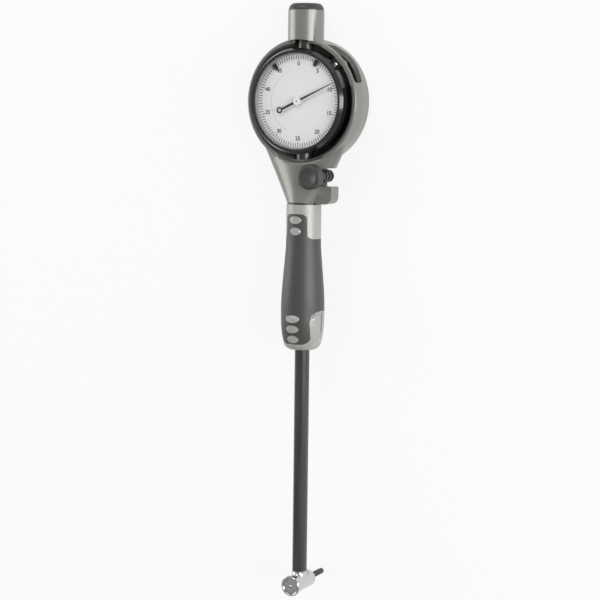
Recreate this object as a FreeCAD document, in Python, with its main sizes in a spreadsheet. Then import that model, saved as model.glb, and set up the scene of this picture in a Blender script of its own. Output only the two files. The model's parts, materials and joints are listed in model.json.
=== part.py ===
"""Dial bore gauge, a parametric FreeCAD model in millimetres.

Design frame: x to the right of the dial, y from the dial towards the back, z up along the stem.
z = 0 is the measuring axis in the head, and the stem's axis is x = y = 0.
The finished gauge lies on its back: the dial faces up (+Z), the stem runs along Y, and the
anvil's round end and a flat on the drum's back edge touch the floor at Z = 0.
"""
import FreeCAD, Part
import math
import os
import re

import Sketcher
from FreeCAD import Placement, Rotation, Vector

doc = FreeCAD.newDocument("DialBoreGauge")

# ---------------------------------------------------------------- driving dimensions

SIZES = {
    "Housing": {
        "dial_height": 270.9,          # drum and dial centre above the measuring axis
        "drum_wall": 3.0,              # from the hood's bore to the crease of the side wall
        "hood_gap": 3.0,               # from the bezel to the hood's bore
        "drum_draft": 0.6,             # radius lost from the crease to each face
        "drum_front": 5.2,             # rim, in front of the stem's axis
        "drum_crease": 1.9,            # crease, behind the stem's axis
        "drum_back": 10.8,
        "rim_round": 0.9,
        "rest_flat": 0.12,             # depth of the flat that the drum's back edge lies on
        "hood_floor": 2.0,             # thickness of the drum's back
        "boss_radius": 9.85,
        "boss_rise": 14.4,             # above the drum
        "boss_bore": 6.6,
        "neck_radius": 9.55,
        "neck_drop": 55.1,             # foot of the neck below the dial centre
        "neck_slope": 0.5,             # widening of each side per millimetre of height
        "neck_swell": 0.02,            # extra widening of the oval under the cut sides
        "neck_top_depth": 5.5,         # half depth of the neck where it ends in the drum
        "neck_top_drop": 14.9,         # end of the neck below the dial centre
        "notch_rise": 9.1,             # above the foot of the neck
        "notch_width": 10.0,
        "notch_floor": 7.4,            # inner end of the notch, from the stem's axis
        "lug_reach": 19.2,
        "lug_half_depth": 4.25,
        "lug_drop": 0.6,               # below the foot of the neck
        "lug_corner": 4.0,
        "lug_edge": 0.5,
        "window_middle": 50.0,         # degrees clockwise from the top
        "window_length": 26.6,
        "window_front": 4.2,           # front edge, in front of the stem's axis
        "window_tip": -1.5,            # back edge at the slim upper end
        "window_widest": 6.2,          # back edge in the middle
        "window_back": 4.2,            # back edge at the lower end
        "window_corner": 2.5,
        "window_sweep": 16.0,          # radius of the long curve to the slim end
    },
    "Plug": {
        "plug_radius": 9.6,
        "plug_rise": 3.6,              # above the boss
        "plug_face": 7.5,
        "plug_band": 0.5,
        "plug_depth": 8.0,
    },
    "Clamp": {
        "clamp_offset": 11.75,         # axis of the screw beside the stem's axis
        "clamp_rise": 14.6,            # above the foot of the neck
        "knob_radius": 6.9,
        "knob_front": 17.0,
        "knob_back": 11.0,
        "knob_edge": 0.6,
        "screw_radius": 3.5,
        "screw_groove": 0.55,
        "screw_back": 6.3,
        "ring_count": 6,
        "spigot_radius": 2.0,
        "spigot_length": 4.0,
        "shoe_half_depth": 5.0,
        "shoe_nose": 2.0,              # half width of the nose that reaches the stem
    },
    "Handle": {
        "ring_height": 1.1,
        "ring_radius": 9.2,
        "handle_length": 80.6,
        "grip_end_rise": 3.7,
        "grip_belly_rise": 13.2,       # each rise starts where the one before ends
        "grip_belly_length": 5.0,
        "grip_lower_rise": 14.0,
        "grip_upper_rise": 17.0,
        "grip_waist_rise": 9.0,
        "grip_top_radius": 9.65,
        "grip_upper_radius": 10.05,
        "grip_lower_radius": 11.5,
        "grip_belly_radius": 12.1,
        "grip_end_radius": 10.5,
        "grip_mouth_radius": 7.4,
        "grip_mouth_round": 4.6,
        "mould_thickness": 1.3,
        "panel_rise": 3.5,
        "panel_low_length": 13.9,
        "panel_wide_length": 44.3,
        "panel_high_length": 13.8,
        "panel_half_low": 9.0,
        "panel_corner_low": 4.6,
        "flare_low": 5.0,
        "flare_high": 3.4,
        "panel_half_high": 6.1,
        "panel_corner_high": 2.6,
        "oval_proud": 0.35,
        "oval_gap": 0.2,
        "side_oval_depth": 0.5,
    },
    "Ovals": {
        "oval_high_drop": 3.3,         # uppermost oval below the panel's top
        "oval_high_step": 6.2,
        "oval_high_width": 3.6,
        "oval_low_rise": 2.9,          # lowest oval above the panel's bottom
        "oval_low_step": 5.7,
        "oval_low_width": 4.2,
        "oval_shrink": 0.4,            # each lower oval is this much narrower
        "oval_height": 2.15,
    },
    "Stem": {
        "tube_radius": 4.15,
        "tube_wall": 0.95,
        "tube_spigot": 3.6,
        "tube_seat": 5.7,              # end of the tube above the foot of the neck
        "rod_radius": 1.1,
        "rod_collar_radius": 2.6,
        "rod_collar_height": 18.0,
        "rod_collar_thick": 1.2,
        "rod_spring_length": 24.6,
        "bush_drop": 16.5,             # upper bush below the tube's end
        "bush_length": 6.0,
        "coil_wire": 0.25,
        "rod_spring_turns": 7,
        "running_gap": 0.04,
        "end_gap": 0.1,
        "fit_gap": 0.01,
    },
    "Head": {
        "head_radius": 4.9,
        "head_front": 7.0,
        "head_back": 10.9,
        "head_round": 1.5,
        "collar_radius": 4.3,
        "collar_top": 7.0,
        "collar_seat": 5.0,
        "nose_radius": 3.3,
        "nose_front": 9.35,
        "spigot_bore": 2.2,
        "spigot_depth": 1.8,
        "groove_radius": 4.4,
        "groove_depth": 2.4,
        "flange_spring_turns": 3,
        "flange_radius": 5.75,
        "flange_front": 10.8,
        "flange_edge": 0.4,
        "recess_radius": 4.45,
        "web_front": 9.3,
        "disc_radius": 4.2,
        "disc_front": 10.0,
        "spanner_radius": 0.5,
        "spanner_offset": 2.9,
        "spanner_angle": 40.0,         # degrees from the vertical, towards the left
        "contact_radius": 1.1,
        "contact_tip": 10.7,
        "contact_flange": 1.6,
        "contact_stop": 6.9,
        "contact_flange_thick": 1.0,
        "contact_travel": 1.2,
        "centralizer_travel": 1.0,
        "crank_arm": 2.9,
        "crank_hub": 0.95,
        "crank_tip": 0.5,
        "crank_half_thick": 0.6,
        "crank_side_gap": 0.2,
        "pin_radius": 0.4,
        "pin_half_length": 3.4,
        "anvil_radius": 1.65,
        "anvil_spigot": 1.25,
        "anvil_tip": 27.0,
        "anvil_root": 6.9,
    },
    "Indicator": {
        "case_radius": 26.0,
        "case_bore": 24.2,
        "case_front": 6.7,
        "case_back": 6.0,
        "case_floor": 1.4,
        "case_opening": 12.0,
        "cover_thick": 1.4,
        "spot_face": 25.5,             # distance of the flats for stem and cap from the dial centre
        "stem_reach": 44.9,            # of the indicator's stem below the dial centre
        "stem_radius": 4.76,
        "stem_shank": 4.0,
        "stem_shank_length": 1.4,
        "spindle_out": 5.0,            # bare end of the spindle below the stem
        "spindle_rise": 29.6,          # top of the spindle above the dial centre
        "spindle_radius": 2.36,
        "spindle_collar": 3.6,
        "spindle_collar_rise": 4.1,
        "return_spring_turns": 6,
        "tip_length": 3.95,
        "tip_radius": 1.6,
        "tip_body": 1.9,
        "cap_radius": 4.4,
        "cap_room": 3.0,               # over the spindle at the end of its travel
        "cap_wall": 1.2,
        "post_radius": 1.6,
        "post_circle": 20.5,
        "lug_width": 6.0,
        "bezel_screw_circle": 28.9,
        "bezel_screw_angle": 46.0,
        "bezel_screw_head": 2.6,
        "bezel_screw_shank": 1.2,
        "bezel_screw_edge": 0.5,
        "bezel_screw_top": 0.8,
        "bezel_screw_back": 5.4,
        "lug_front": 4.6,
        "case_lug_back": 0.6,
        "case_lug_reach": 31.0,
    },
    "Bezel": {
        "bezel_radius": 28.7,
        "bezel_back": 5.2,
        "bezel_shoulder": 9.4,
        "bezel_front": 11.3,
        "bezel_face": 27.4,
        "bezel_lip": 26.1,
        "bezel_seat": 26.45,
        "bezel_ledge": 24.6,
        "bezel_skirt_gap": 0.05,
        "crystal_front": 10.7,
        "crystal_back": 9.9,
        "dial_front": 7.8,
        "dial_thick": 0.5,
        "dial_hole": 1.3,
        "ring_inner_low": 25.2,
        "ring_inner_high": 25.9,
        "tick_outer": 24.9,
        "tick_length": 2.0,
        "tick_long": 2.7,
        "tick_width": 0.22,
        "tick_depth": 0.05,
        "tick_count": 100,
        "pointer_angle": 65.5,
        "pointer_tip": 24.3,
        "pointer_tail": 12.0,
        "pointer_ring": 1.75,
        "pointer_ring_hole": 1.0,
        "pointer_front": 9.35,
        "pointer_thick": 0.25,
        "hub_radius": 2.2,
        "hub_bore": 1.0,
        "hub_front": 9.75,
        "hub_back": 8.3,
        "hand_front": 8.7,
        "hand_thick": 0.4,
        "hand_outer": 25.0,
        "hand_inner": 21.3,
        "hand_half_width": 1.25,
        "hand_left_angle": -37.5,
        "hand_right_angle": 28.0,
    },
    "Movement": {
        "gear_module": 0.2,
        "tooth_rise": 0.9,             # of a module above the pitch line
        "tooth_root": 1.2,             # of a module below it
        "pinion_gap": 0.3,             # from the rack pinion to the plate in front of it
        "rack_teeth": 16,
        "drive_teeth": 95,
        "centre_teeth": 12,
        "take_up_teeth": 60,
        "take_up_angle": 51.0,        # degrees from the top, seen from the front
        "rack_pitch_line": 1.9,
        "rack_low_drop": 18.9,         # ends of the rack below the dial centre
        "rack_high_drop": 1.9,
        "arbor_radius": 0.5,
        "hairspring_turns": 4,
        "plate_radius": 22.5,
        "low_plate_front": 3.4,
        "low_plate_back": 2.6,
        "up_plate_front": 5.9,
        "up_plate_back": 5.1,
        "up_plate_radius": 17.0,
        "wheel_front": 4.6,
        "wheel_back": 4.0,
        "pillar_radius": 1.2,
        "movement_screw": 0.6,
        "plate_window": 4.3,           # half width of the opening around the return spring
        "pillar_circle": 13.0,
        "pillar_low_angle": -57.5,
        "pillar_side_angle": 94.5,
        "pillar_wide_circle": 15.8,
        "pillar_wide_angle": 34.5,
        "bridge_reach": 7.2,           # from the arbor to the bridge's leg
        "bridge_nose": 0.9,
        "bridge_front": -1.6,
        "bridge_back": -2.4,
    },
}

# Places that follow from the driving dimensions, lowest first in each chain.
PLACES = {
    "Housing places": {
        "hood_radius": "bezel_radius + hood_gap",
        "drum_radius": "hood_radius + drum_wall",
        "boss_top": "dial_height + drum_radius + boss_rise",
        "plug_top": "boss_top + plug_rise",
        "neck_bottom": "dial_height - neck_drop",
        "notch_low": "neck_bottom + notch_rise",
        "notch_high": "notch_low + notch_width",
        "lug_bottom": "neck_bottom - lug_drop",
        "clamp_height": "neck_bottom + clamp_rise",
    },
    "Handle places": {
        "handle_bottom": "neck_bottom - ring_height - handle_length",
        "grip_end_height": "handle_bottom + grip_end_rise",
        "grip_belly_low": "grip_end_height + grip_belly_rise",
        "grip_belly_high": "grip_belly_low + grip_belly_length",
        "grip_lower_height": "grip_belly_high + grip_lower_rise",
        "grip_upper_height": "grip_lower_height + grip_upper_rise",
        "grip_waist_height": "grip_upper_height + grip_waist_rise",
        "panel_bottom": "handle_bottom + panel_rise",
        "panel_flare_low": "panel_bottom + panel_low_length",
        "panel_flare_high": "panel_flare_low + panel_wide_length",
        "panel_top": "panel_flare_high + panel_high_length",
        "oval_high_a": "panel_top - oval_high_drop",
        "oval_high_b": "oval_high_a - oval_high_step",
        "oval_low_c": "panel_bottom + oval_low_rise",
        "oval_low_b": "oval_low_c + oval_low_step",
        "oval_low_a": "oval_low_b + oval_low_step",
    },
    "Stem places": {
        "tube_top": "neck_bottom + tube_seat",
        "bush_high": "tube_top - bush_drop",
        "bush_low": "rod_collar_height + rod_collar_thick + 2 * end_gap + rod_spring_length",
        "stem_bottom": "dial_height - stem_reach",
        "spindle_bottom": "stem_bottom - spindle_out",
        "spindle_top": "dial_height + spindle_rise",
        "spindle_collar_height": "dial_height + spindle_collar_rise",
        "rod_top": "spindle_bottom - tip_length - end_gap",
        "rack_low": "dial_height - rack_low_drop",
        "rack_high": "dial_height - rack_high_drop",
    },
}

sheet = doc.addObject("Spreadsheet::Sheet", "Sizes")
ALIASES = set()
row = 1
for group, entries in (SIZES | PLACES).items():
    sheet.set(f"A{row}", group)
    row += 1
    for alias, number in entries.items():
        sheet.set(f"A{row}", alias)
        sheet.set(f"B{row}", f"={number}")
        sheet.setAlias(f"B{row}", alias)
        ALIASES.add(alias)
        row += 1
doc.recompute()


def bound(words):
    """An expression in plain aliases, with each one pointed at the spreadsheet."""
    return re.sub(r"[A-Za-z_]\w*", lambda m: "Sizes." + m[0] if m[0] in ALIASES else m[0], str(words))


def size(words):
    """The number that an expression in aliases has now."""
    return float(sheet.evalExpression(bound(words)))


# ---------------------------------------------------------------- helpers

UP = Rotation()
BACK = Rotation(Vector(1, 0, 0), -90)     # a piece turned about local z now lies along +y
SIDE = Rotation(Vector(0, 1, 0), 90)      # a piece turned about local z now lies along +x
DIAL = Vector(0, 0, size("dial_height"))
NODES = []


def rest_placement():
    """Lays the gauge on its back, on the anvil's round end and the flat of the drum's back edge."""
    edge = size("rim_round")
    flat_radius = edge - size("rest_flat")
    anvil_depth = size("anvil_tip - anvil_radius")
    edge_height = size("dial_height + drum_radius - drum_draft") - edge
    edge_depth = size("drum_back") - edge
    span = math.hypot(edge_height, anvil_depth - edge_depth)
    tilt = math.atan2(anvil_depth - edge_depth, edge_height)
    tilt += math.asin((size("anvil_radius") - flat_radius) / span)
    turn = Rotation(Vector(1, 0, 0), -90 - math.degrees(tilt))
    lift = size("anvil_radius") - turn.multVec(Vector(0, anvil_depth, 0)).z
    return Placement(Vector(0, 0, lift), turn)


REST = rest_placement()


def place(thing, at=Vector(), turn=UP):
    thing.Placement = Placement(at, turn)
    return thing


def node(thing, label):
    """Makes a finished piece a node: its label, and its place on the floor."""
    thing.Label = label
    thing.Placement = REST * thing.Placement
    NODES.append(thing)
    return thing


def plane(body, role):
    return next(f for f in body.Origin.OriginFeatures if f.Role == role)


def arc_through(start, end, radius):
    """Minor arc between two points: it turns left for a positive radius, right for a negative."""
    chord = end - start
    rise = math.sqrt(max(radius * radius - chord.Length ** 2 / 4, 0))
    left = Vector(-chord.y, chord.x, 0).normalize()
    centre = (start + end) / 2 + left * math.copysign(rise, radius)
    first, last = (start, end) if radius > 0 else (end, start)
    angle_1 = math.atan2(first.y - centre.y, first.x - centre.x)
    angle_2 = math.atan2(last.y - centre.y, last.x - centre.x)
    if angle_2 < angle_1:
        angle_2 += 2 * math.pi
    return Part.ArcOfCircle(Part.Circle(centre, Vector(0, 0, 1), abs(radius)), angle_1, angle_2)


def outline(body, role, corners, offset="0"):
    """Closed sketch. A corner is (x, y), or (x, y, radius) where an arc arrives at it."""
    sketch = body.newObject("Sketcher::SketchObject", body.Name + "Outline")
    sketch.AttachmentSupport = [(plane(body, role), "")]
    sketch.MapMode = "FlatFace"
    sketch.setExpression("AttachmentOffset.Base.z", bound(offset))
    points = [Vector(size(c[0]), size(c[1]), 0) for c in corners]
    ends = []
    for index, corner in enumerate(corners):
        start = points[index - 1]
        end = points[index]
        if len(corner) == 2:
            sketch.addGeometry(Part.LineSegment(start, end), False)
            ends.append((1, 2))
        else:
            radius = size(corner[2])
            sketch.addGeometry(arc_through(start, end, radius), False)
            ends.append((1, 2) if radius > 0 else (2, 1))
    count = len(corners)
    for index, corner in enumerate(corners):
        following = (index + 1) % count
        tail = ends[index][1]
        head = ends[following][0]
        sketch.addConstraint(Sketcher.Constraint("Coincident", index, tail, following, head))
        for kind, words, axis in (("DistanceX", corner[0], -2), ("DistanceY", corner[1], -1)):
            if str(words) == "0":
                sketch.addConstraint(Sketcher.Constraint("PointOnObject", index, tail, axis))
                continue
            number = sketch.addConstraint(Sketcher.Constraint(kind, index, tail, size(words)))
            sketch.setExpression(f"Constraints[{number}]", bound(words))
        if len(corner) == 3:
            words = str(corner[2]).lstrip("-")
            number = sketch.addConstraint(Sketcher.Constraint("Radius", index, size(words)))
            sketch.setExpression(f"Constraints[{number}]", bound(words))
    return sketch


def turned(name, corners, at=Vector(), turn=UP):
    """Body of revolution about local z. Corners are (radius, place along the axis)."""
    body = doc.addObject("PartDesign::Body", name)
    sketch = outline(body, "XZ_Plane", corners)
    feature = body.newObject("PartDesign::Revolution", name + "Turn")
    feature.Profile = sketch
    feature.ReferenceAxis = (sketch, ["V_Axis"])
    feature.Angle = 360
    return place(body, at, turn)


def plate(name, corners, front, back, at=Vector(), turn=UP):
    """Pad of an outline in x and z, from back (behind the stem's axis) forward to front."""
    body = doc.addObject("PartDesign::Body", name)
    sketch = outline(body, "XZ_Plane", corners, offset=f"-({back})")
    feature = body.newObject("PartDesign::Pad", name + "Pad")
    feature.Profile = sketch
    feature.setExpression("Length", bound(f"({front}) + ({back})"))
    return place(body, at, turn)


def box(name, low, high):
    """Box between two corners, each given as three expressions."""
    block = doc.addObject("Part::Box", name)
    for side, lower, upper in zip(("Length", "Width", "Height"), low, high):
        block.setExpression(side, bound(f"({upper}) - ({lower})"))
    return place(block, Vector(*(size(words) for words in low)))


def rod(name, radius, low, high, at=Vector(), turn=UP):
    """Plain cylinder about local z through `at`."""
    cylinder = doc.addObject("Part::Cylinder", name)
    cylinder.setExpression("Radius", bound(radius))
    cylinder.setExpression("Height", bound(f"({high}) - ({low})"))
    return place(cylinder, at + turn.multVec(Vector(0, 0, size(low))), turn)


def joined(name, pieces):
    fusion = doc.addObject("Part::MultiFuse", name)
    fusion.Shapes = pieces
    return fusion


def shared(name, pieces):
    common = doc.addObject("Part::MultiCommon", name)
    common.Shapes = pieces
    return common


def without(name, base, tools):
    cut = doc.addObject("Part::Cut", name)
    cut.Base = base
    cut.Tool = tools[0] if len(tools) == 1 else joined(name + "Tools", tools)
    return cut


def shaped(name, shape):
    """Feature for a shape that neither a body nor a primitive gives."""
    feature = doc.addObject("Part::Feature", name)
    feature.Shape = shape
    return feature


def around_dial(radius, angle, depth=0.0):
    """Point at a radius from the dial centre, clockwise from the top as seen from the front."""
    turn = math.radians(angle)
    return DIAL + Vector(radius * math.sin(turn), depth, radius * math.cos(turn))


# ---------------------------------------------------------------- housing

def neck():
    """Funnel: a round foot that widens and flattens towards the drum, with cut sides."""
    top = "dial_height - neck_top_drop"
    foot = doc.addObject("Part::Circle", "NeckFoot")
    foot.setExpression("Radius", bound("neck_radius"))
    place(foot, Vector(0, 0, size("neck_bottom")))
    head = doc.addObject("Part::Ellipse", "NeckHead")
    rise = f"({top} - neck_bottom)"
    head.setExpression("MajorRadius", bound(f"neck_radius + (neck_slope + neck_swell) * {rise}"))
    head.setExpression("MinorRadius", bound("neck_top_depth"))
    place(head, Vector(0, 0, size(top)))
    funnel = doc.addObject("Part::Loft", "NeckFunnel")
    funnel.Sections = [foot, head]
    funnel.Solid = True
    funnel.Ruled = True
    half_top = f"(neck_radius + neck_slope * {rise})"
    sides = plate("NeckSides", [
        ("-neck_radius", "neck_bottom"),
        ("neck_radius", "neck_bottom"),
        (half_top, top),
        (f"-{half_top}", top),
    ], "boss_radius", "boss_radius")
    return shared("NeckShape", [funnel, sides])


def lug():
    """Thumb lug under the notch."""
    return plate("ThumbLug", [
        ("neck_radius", "lug_bottom"),
        ("lug_reach - lug_corner", "lug_bottom"),
        ("lug_reach", "lug_bottom + lug_corner", "lug_corner"),
        ("lug_reach", "notch_low - lug_edge"),
        ("lug_reach - lug_edge", "notch_low"),
        ("tube_radius", "notch_low"),
        ("tube_radius", "neck_bottom"),
        ("neck_radius", "neck_bottom"),
    ], "lug_half_depth", "lug_half_depth")


def drum():
    """Drum with a crease round its side wall and rounded edges."""
    edge = "drum_radius - drum_draft"
    return turned("Drum", [
        ("0", "-drum_front"),
        (f"{edge} - rim_round", "-drum_front"),
        (edge, "-drum_front + rim_round", "rim_round"),
        ("drum_radius", "drum_crease"),
        (edge, "drum_back - rim_round"),
        (f"{edge} - rim_round", "drum_back", "rim_round"),
        ("0", "drum_back"),
    ], DIAL, BACK)


def hood_cavity():
    """Room for the indicator, and the clear space in front of the rim."""
    edge = "drum_radius - drum_draft"
    return turned("HoodCavity", [
        ("0", "-knob_front"),
        (f"{edge} - rim_round", "-knob_front"),
        (f"{edge} - rim_round", "-drum_front"),
        ("hood_radius", "-drum_front"),
        ("hood_radius", "drum_back - hood_floor"),
        ("0", "drum_back - hood_floor"),
    ], DIAL, BACK)


def finger_window():
    """Teardrop opening in the upper right of the drum's wall: slim above, round below."""
    half = "window_length / 2"
    blade = doc.addObject("PartDesign::Body", "WindowBlade")
    sketch = outline(blade, "XY_Plane", [
        (f"-{half}", "-window_front"),
        (f"{half} - window_corner", "-window_front"),
        (half, "window_corner - window_front", "window_corner"),
        (half, "window_back - window_corner"),
        (f"{half} - window_corner", "window_back", "window_corner"),
        ("0", "window_widest"),
        (f"-{half}", "window_tip", "window_sweep"),
    ], offset="case_radius")
    pad = blade.newObject("PartDesign::Pad", "WindowPad")
    pad.Profile = sketch
    pad.setExpression("Length", bound("drum_radius"))
    return place(blade, DIAL, Rotation(Vector(0, 1, 0), size("window_middle")))


def housing():
    boss = rod("Boss", "boss_radius", "dial_height + hood_radius - hood_floor", "boss_top")
    casting = joined("Casting", [drum(), neck(), lug(), boss])
    bores = turned("HousingBores", [
        ("0", "neck_bottom - hood_floor"),
        ("tube_radius + fit_gap", "neck_bottom - hood_floor"),
        ("tube_radius + fit_gap", "tube_top"),
        ("stem_radius + running_gap", "tube_top"),
        ("stem_radius + running_gap", "dial_height - case_radius"),
        ("0", "dial_height - case_radius"),
    ])
    boss_bore = rod("BossBore", "boss_bore", "dial_height + case_radius", "boss_top + hood_floor")
    notch = box("Notch", ("notch_floor", "-drum_back", "notch_low"),
                ("lug_reach + hood_floor", "drum_back", "notch_high"))
    shoe_way = box("ShoeWay", ("0", "-shoe_nose", "clamp_height - shoe_nose"),
                   ("notch_floor + fit_gap", "shoe_nose", "clamp_height + shoe_nose"))
    below = box("BelowFloor", ("-drum_radius", "0", "-drum_wall"), ("drum_radius", "boss_top", "0"))
    below.Placement = REST.inverse() * below.Placement
    tools = [hood_cavity(), bores, boss_bore, notch, shoe_way, finger_window(), below]
    node(without("Housing", casting, tools), "indicator_housing")


def top_plug():
    slope = "plug_radius - plug_face"
    node(turned("TopPlug", [
        ("0", "boss_top - plug_depth"),
        ("boss_bore - fit_gap", "boss_top - plug_depth"),
        ("boss_bore - fit_gap", "boss_top"),
        ("plug_radius", "boss_top"),
        ("plug_radius", "boss_top + plug_band"),
        ("plug_face", "plug_top", f"2 * ({slope})"),
        ("0", "plug_top"),
    ]), "top_plug")


# ---------------------------------------------------------------- clamp

def clamp():
    """Knob, ringed screw and the shoe that presses the indicator's stem."""
    at = Vector(size("clamp_offset"), 0, size("clamp_height"))
    node(turned("Knob", [
        ("spigot_radius", "-knob_back - spigot_length"),
        ("spigot_radius", "-knob_back"),
        ("knob_radius - knob_edge", "-knob_back"),
        ("knob_radius", "-knob_back - knob_edge"),
        ("knob_radius", "-knob_front + knob_edge"),
        ("knob_radius - knob_edge", "-knob_front"),
        ("0", "-knob_front"),
        ("0", "-knob_back - spigot_length"),
    ], at, BACK), "clamp_knob")

    pitch = "((knob_back + screw_back) / (2 * ring_count - 1))"
    groove = "screw_radius - screw_groove"
    corners = [
        ("0", "-knob_back - spigot_length"),
        ("spigot_radius", "-knob_back - spigot_length"),
        ("spigot_radius", "-knob_back"),
        ("screw_radius", "-knob_back"),
    ]
    for index in range(1, int(size("ring_count"))):
        start = f"{2 * index - 1} * {pitch} - knob_back"
        end = f"{2 * index} * {pitch} - knob_back"
        corners += [("screw_radius", start), (groove, start), (groove, end), ("screw_radius", end)]
    corners += [("screw_radius", "screw_back"), ("0", "screw_back")]
    node(turned("Screw", corners, at, BACK), "clamp_screw")

    block = box("ShoeBlock", ("notch_floor + fit_gap", "-shoe_half_depth", "notch_low + end_gap"),
                ("clamp_offset", "shoe_half_depth", "notch_high - end_gap"))
    nose = box("ShoeNose", ("stem_radius / 2", "-shoe_nose + end_gap", "clamp_height - shoe_nose + end_gap"),
               ("notch_floor + 1", "shoe_nose - end_gap", "clamp_height + shoe_nose - end_gap"))
    stem = rod("ShoeStemSeat", "stem_radius + running_gap", "notch_low", "notch_high")
    seat = rod("ShoeScrewSeat", "screw_radius + running_gap", "-shoe_half_depth - 1", "shoe_half_depth + 1",
               at, BACK)
    node(without("Shoe", joined("ShoeBlank", [block, nose]), [stem, seat]), "clamp_shoe")


# ---------------------------------------------------------------- handle

def swell(narrow, wide, low, high):
    """Radius of an arc that starts or ends upright and changes the radius between two heights."""
    out = f"(({wide}) - ({narrow}))"
    rise = f"(({high}) - ({low}))"
    return f"({out} * {out} + {rise} * {rise}) / (2 * {out})"


def grip_form(name, shrink):
    """Turned form of the handle, smaller all round by `shrink`."""
    top = "neck_bottom - ring_height"
    return turned(name, [
        ("0", "handle_bottom"),
        (f"grip_mouth_radius - ({shrink})", "handle_bottom"),
        (f"grip_end_radius - ({shrink})", "grip_end_height", "grip_mouth_round"),
        (f"grip_belly_radius - ({shrink})", "grip_belly_low",
         swell("grip_end_radius", "grip_belly_radius", "grip_end_height", "grip_belly_low")),
        (f"grip_belly_radius - ({shrink})", "grip_belly_high"),
        (f"grip_lower_radius - ({shrink})", "grip_lower_height",
         swell("grip_lower_radius", "grip_belly_radius", "grip_belly_high", "grip_lower_height")),
        (f"grip_upper_radius - ({shrink})", "grip_upper_height"),
        (f"grip_top_radius - ({shrink})", "grip_waist_height",
         "-" + swell("grip_top_radius", "grip_upper_radius", "grip_upper_height", "grip_waist_height")),
        (f"grip_top_radius - ({shrink})", top),
        ("0", top),
    ])


def panel_prism():
    """Front view of the dark moulding: a panel that spreads round the sides in the middle."""
    wide = "(grip_belly_radius + mould_thickness)"
    right = [
        ("panel_half_low - panel_corner_low", "panel_bottom"),
        ("panel_half_low", "panel_bottom + panel_corner_low", "panel_corner_low"),
        ("panel_half_low", "panel_flare_low"),
        ("panel_half_low + flare_low", "panel_flare_low + flare_low", "-flare_low"),
        ("panel_half_low + flare_low", "panel_flare_high"),
        ("panel_half_high + flare_high", "panel_flare_high"),
        ("panel_half_high", "panel_flare_high + flare_high", "-flare_high"),
        ("panel_half_high", "panel_top - panel_corner_high"),
        ("panel_half_high - panel_corner_high", "panel_top", "panel_corner_high"),
    ]
    left = []
    for index, corner in enumerate(reversed(right)):
        mirrored = (f"-({corner[0]})", corner[1])
        source = right[len(right) - index] if index else None
        if source is not None and len(source) == 3:
            mirrored += (source[2],)
        left.append(mirrored)
    return plate("PanelPrism", right + left, wide, wide)


def oval_prism(name, half_width, height, side, extra, reach_low, reach_high):
    """Oval bar along y on one side (-1 front, +1 back) between two depths."""
    ellipse = doc.addObject("Part::Ellipse", name + "Line")
    ellipse.setExpression("MajorRadius", bound(f"{half_width} + {extra}"))
    ellipse.setExpression("MinorRadius", bound(f"oval_height + {extra}"))
    place(ellipse, Vector(0, side * size(reach_low), size(height)), Rotation(Vector(1, 0, 0), 90))
    bar = doc.addObject("Part::Extrusion", name)
    bar.Base = ellipse
    bar.DirMode = "Custom"
    bar.Dir = Vector(0, side, 0)
    bar.setExpression("LengthFwd", bound(f"({reach_high}) - ({reach_low})"))
    bar.Solid = True
    return bar


def oval_rows():
    """Half width and height of each raised oval of one face."""
    rows = [("oval_high_width", "oval_high_a"), ("oval_high_width - oval_shrink", "oval_high_b")]
    for index, height in enumerate(("oval_low_a", "oval_low_b", "oval_low_c")):
        rows.append((f"oval_low_width - {index} * oval_shrink", height))
    return rows


def handle():
    form = grip_form("GripForm", "0")
    inner = grip_form("GripInner", "mould_thickness")
    proud = grip_form("GripProud", "(-oval_proud)")
    panel = panel_prism()
    holes = []
    bars = []
    for side, word in ((-1, "Front"), (1, "Back")):
        for index, (half_width, height) in enumerate(oval_rows()):
            tag = f"{word}{index}"
            holes.append(oval_prism("OvalHole" + tag, half_width, height, side, "oval_gap",
                                    "tube_radius", "grip_belly_radius + 2"))
            bars.append(oval_prism("OvalBar" + tag, half_width, height, side, "0",
                                   "tube_radius + 1", "grip_belly_radius + 2"))
    shell = without("GripShell", shared("GripPanel", [form, panel]), [inner])
    node(without("Grip", shell, holes), "grip_overmould")

    around = without("PanelRing", panel, [inner])
    body = without("CoreBlank", form, [shared("GripPanelSpace", [form, around])])
    ovals = shared("CoreOvals", [proud, joined("OvalBars", bars)])
    bore = rod("HandleBore", "tube_radius + fit_gap", "handle_bottom - 1", "neck_bottom")
    tools = [bore]
    for sign in (-1, 1):
        for index, height in enumerate(("oval_low_a", "oval_low_b", "oval_low_c")):
            dimple = doc.addObject("Part::Ellipsoid", f"SideOval{index}{'LR'[sign > 0]}")
            dimple.setExpression("Radius2", bound("oval_low_width - oval_shrink"))
            dimple.setExpression("Radius1", bound("oval_height"))
            dimple.setExpression("Radius3", bound("side_oval_depth * 2"))
            reach = size("grip_belly_radius") + size("side_oval_depth")
            place(dimple, Vector(sign * reach, 0, size(height)), Rotation(Vector(0, 1, 0), 90))
            tools.append(dimple)
    core = joined("CoreSolid", [body, ovals])
    node(without("Core", core, tools), "handle_core")

    node(turned("NeckRing", [
        ("tube_radius + fit_gap", "neck_bottom - ring_height"),
        ("ring_radius", "neck_bottom - ring_height"),
        ("ring_radius", "neck_bottom"),
        ("tube_radius + fit_gap", "neck_bottom"),
    ]), "neck_ring")


# ---------------------------------------------------------------- stem and push rod

def coil(name, radius, wire, low, high, turns, turn=UP):
    """Round wire wound about an axis through the origin, between two places along that axis."""
    height = high - low - 2 * wire
    helix = Part.makeLongHelix(height / turns, height, radius)
    section = Part.Wire(Part.makeCircle(wire, Vector(radius, 0, 0), Vector(0, 1, 0)))
    spring = shaped(name, Part.Wire(helix).makePipeShell([section], True, True))
    return place(spring, turn.multVec(Vector(0, 0, low + wire)), turn)


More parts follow.
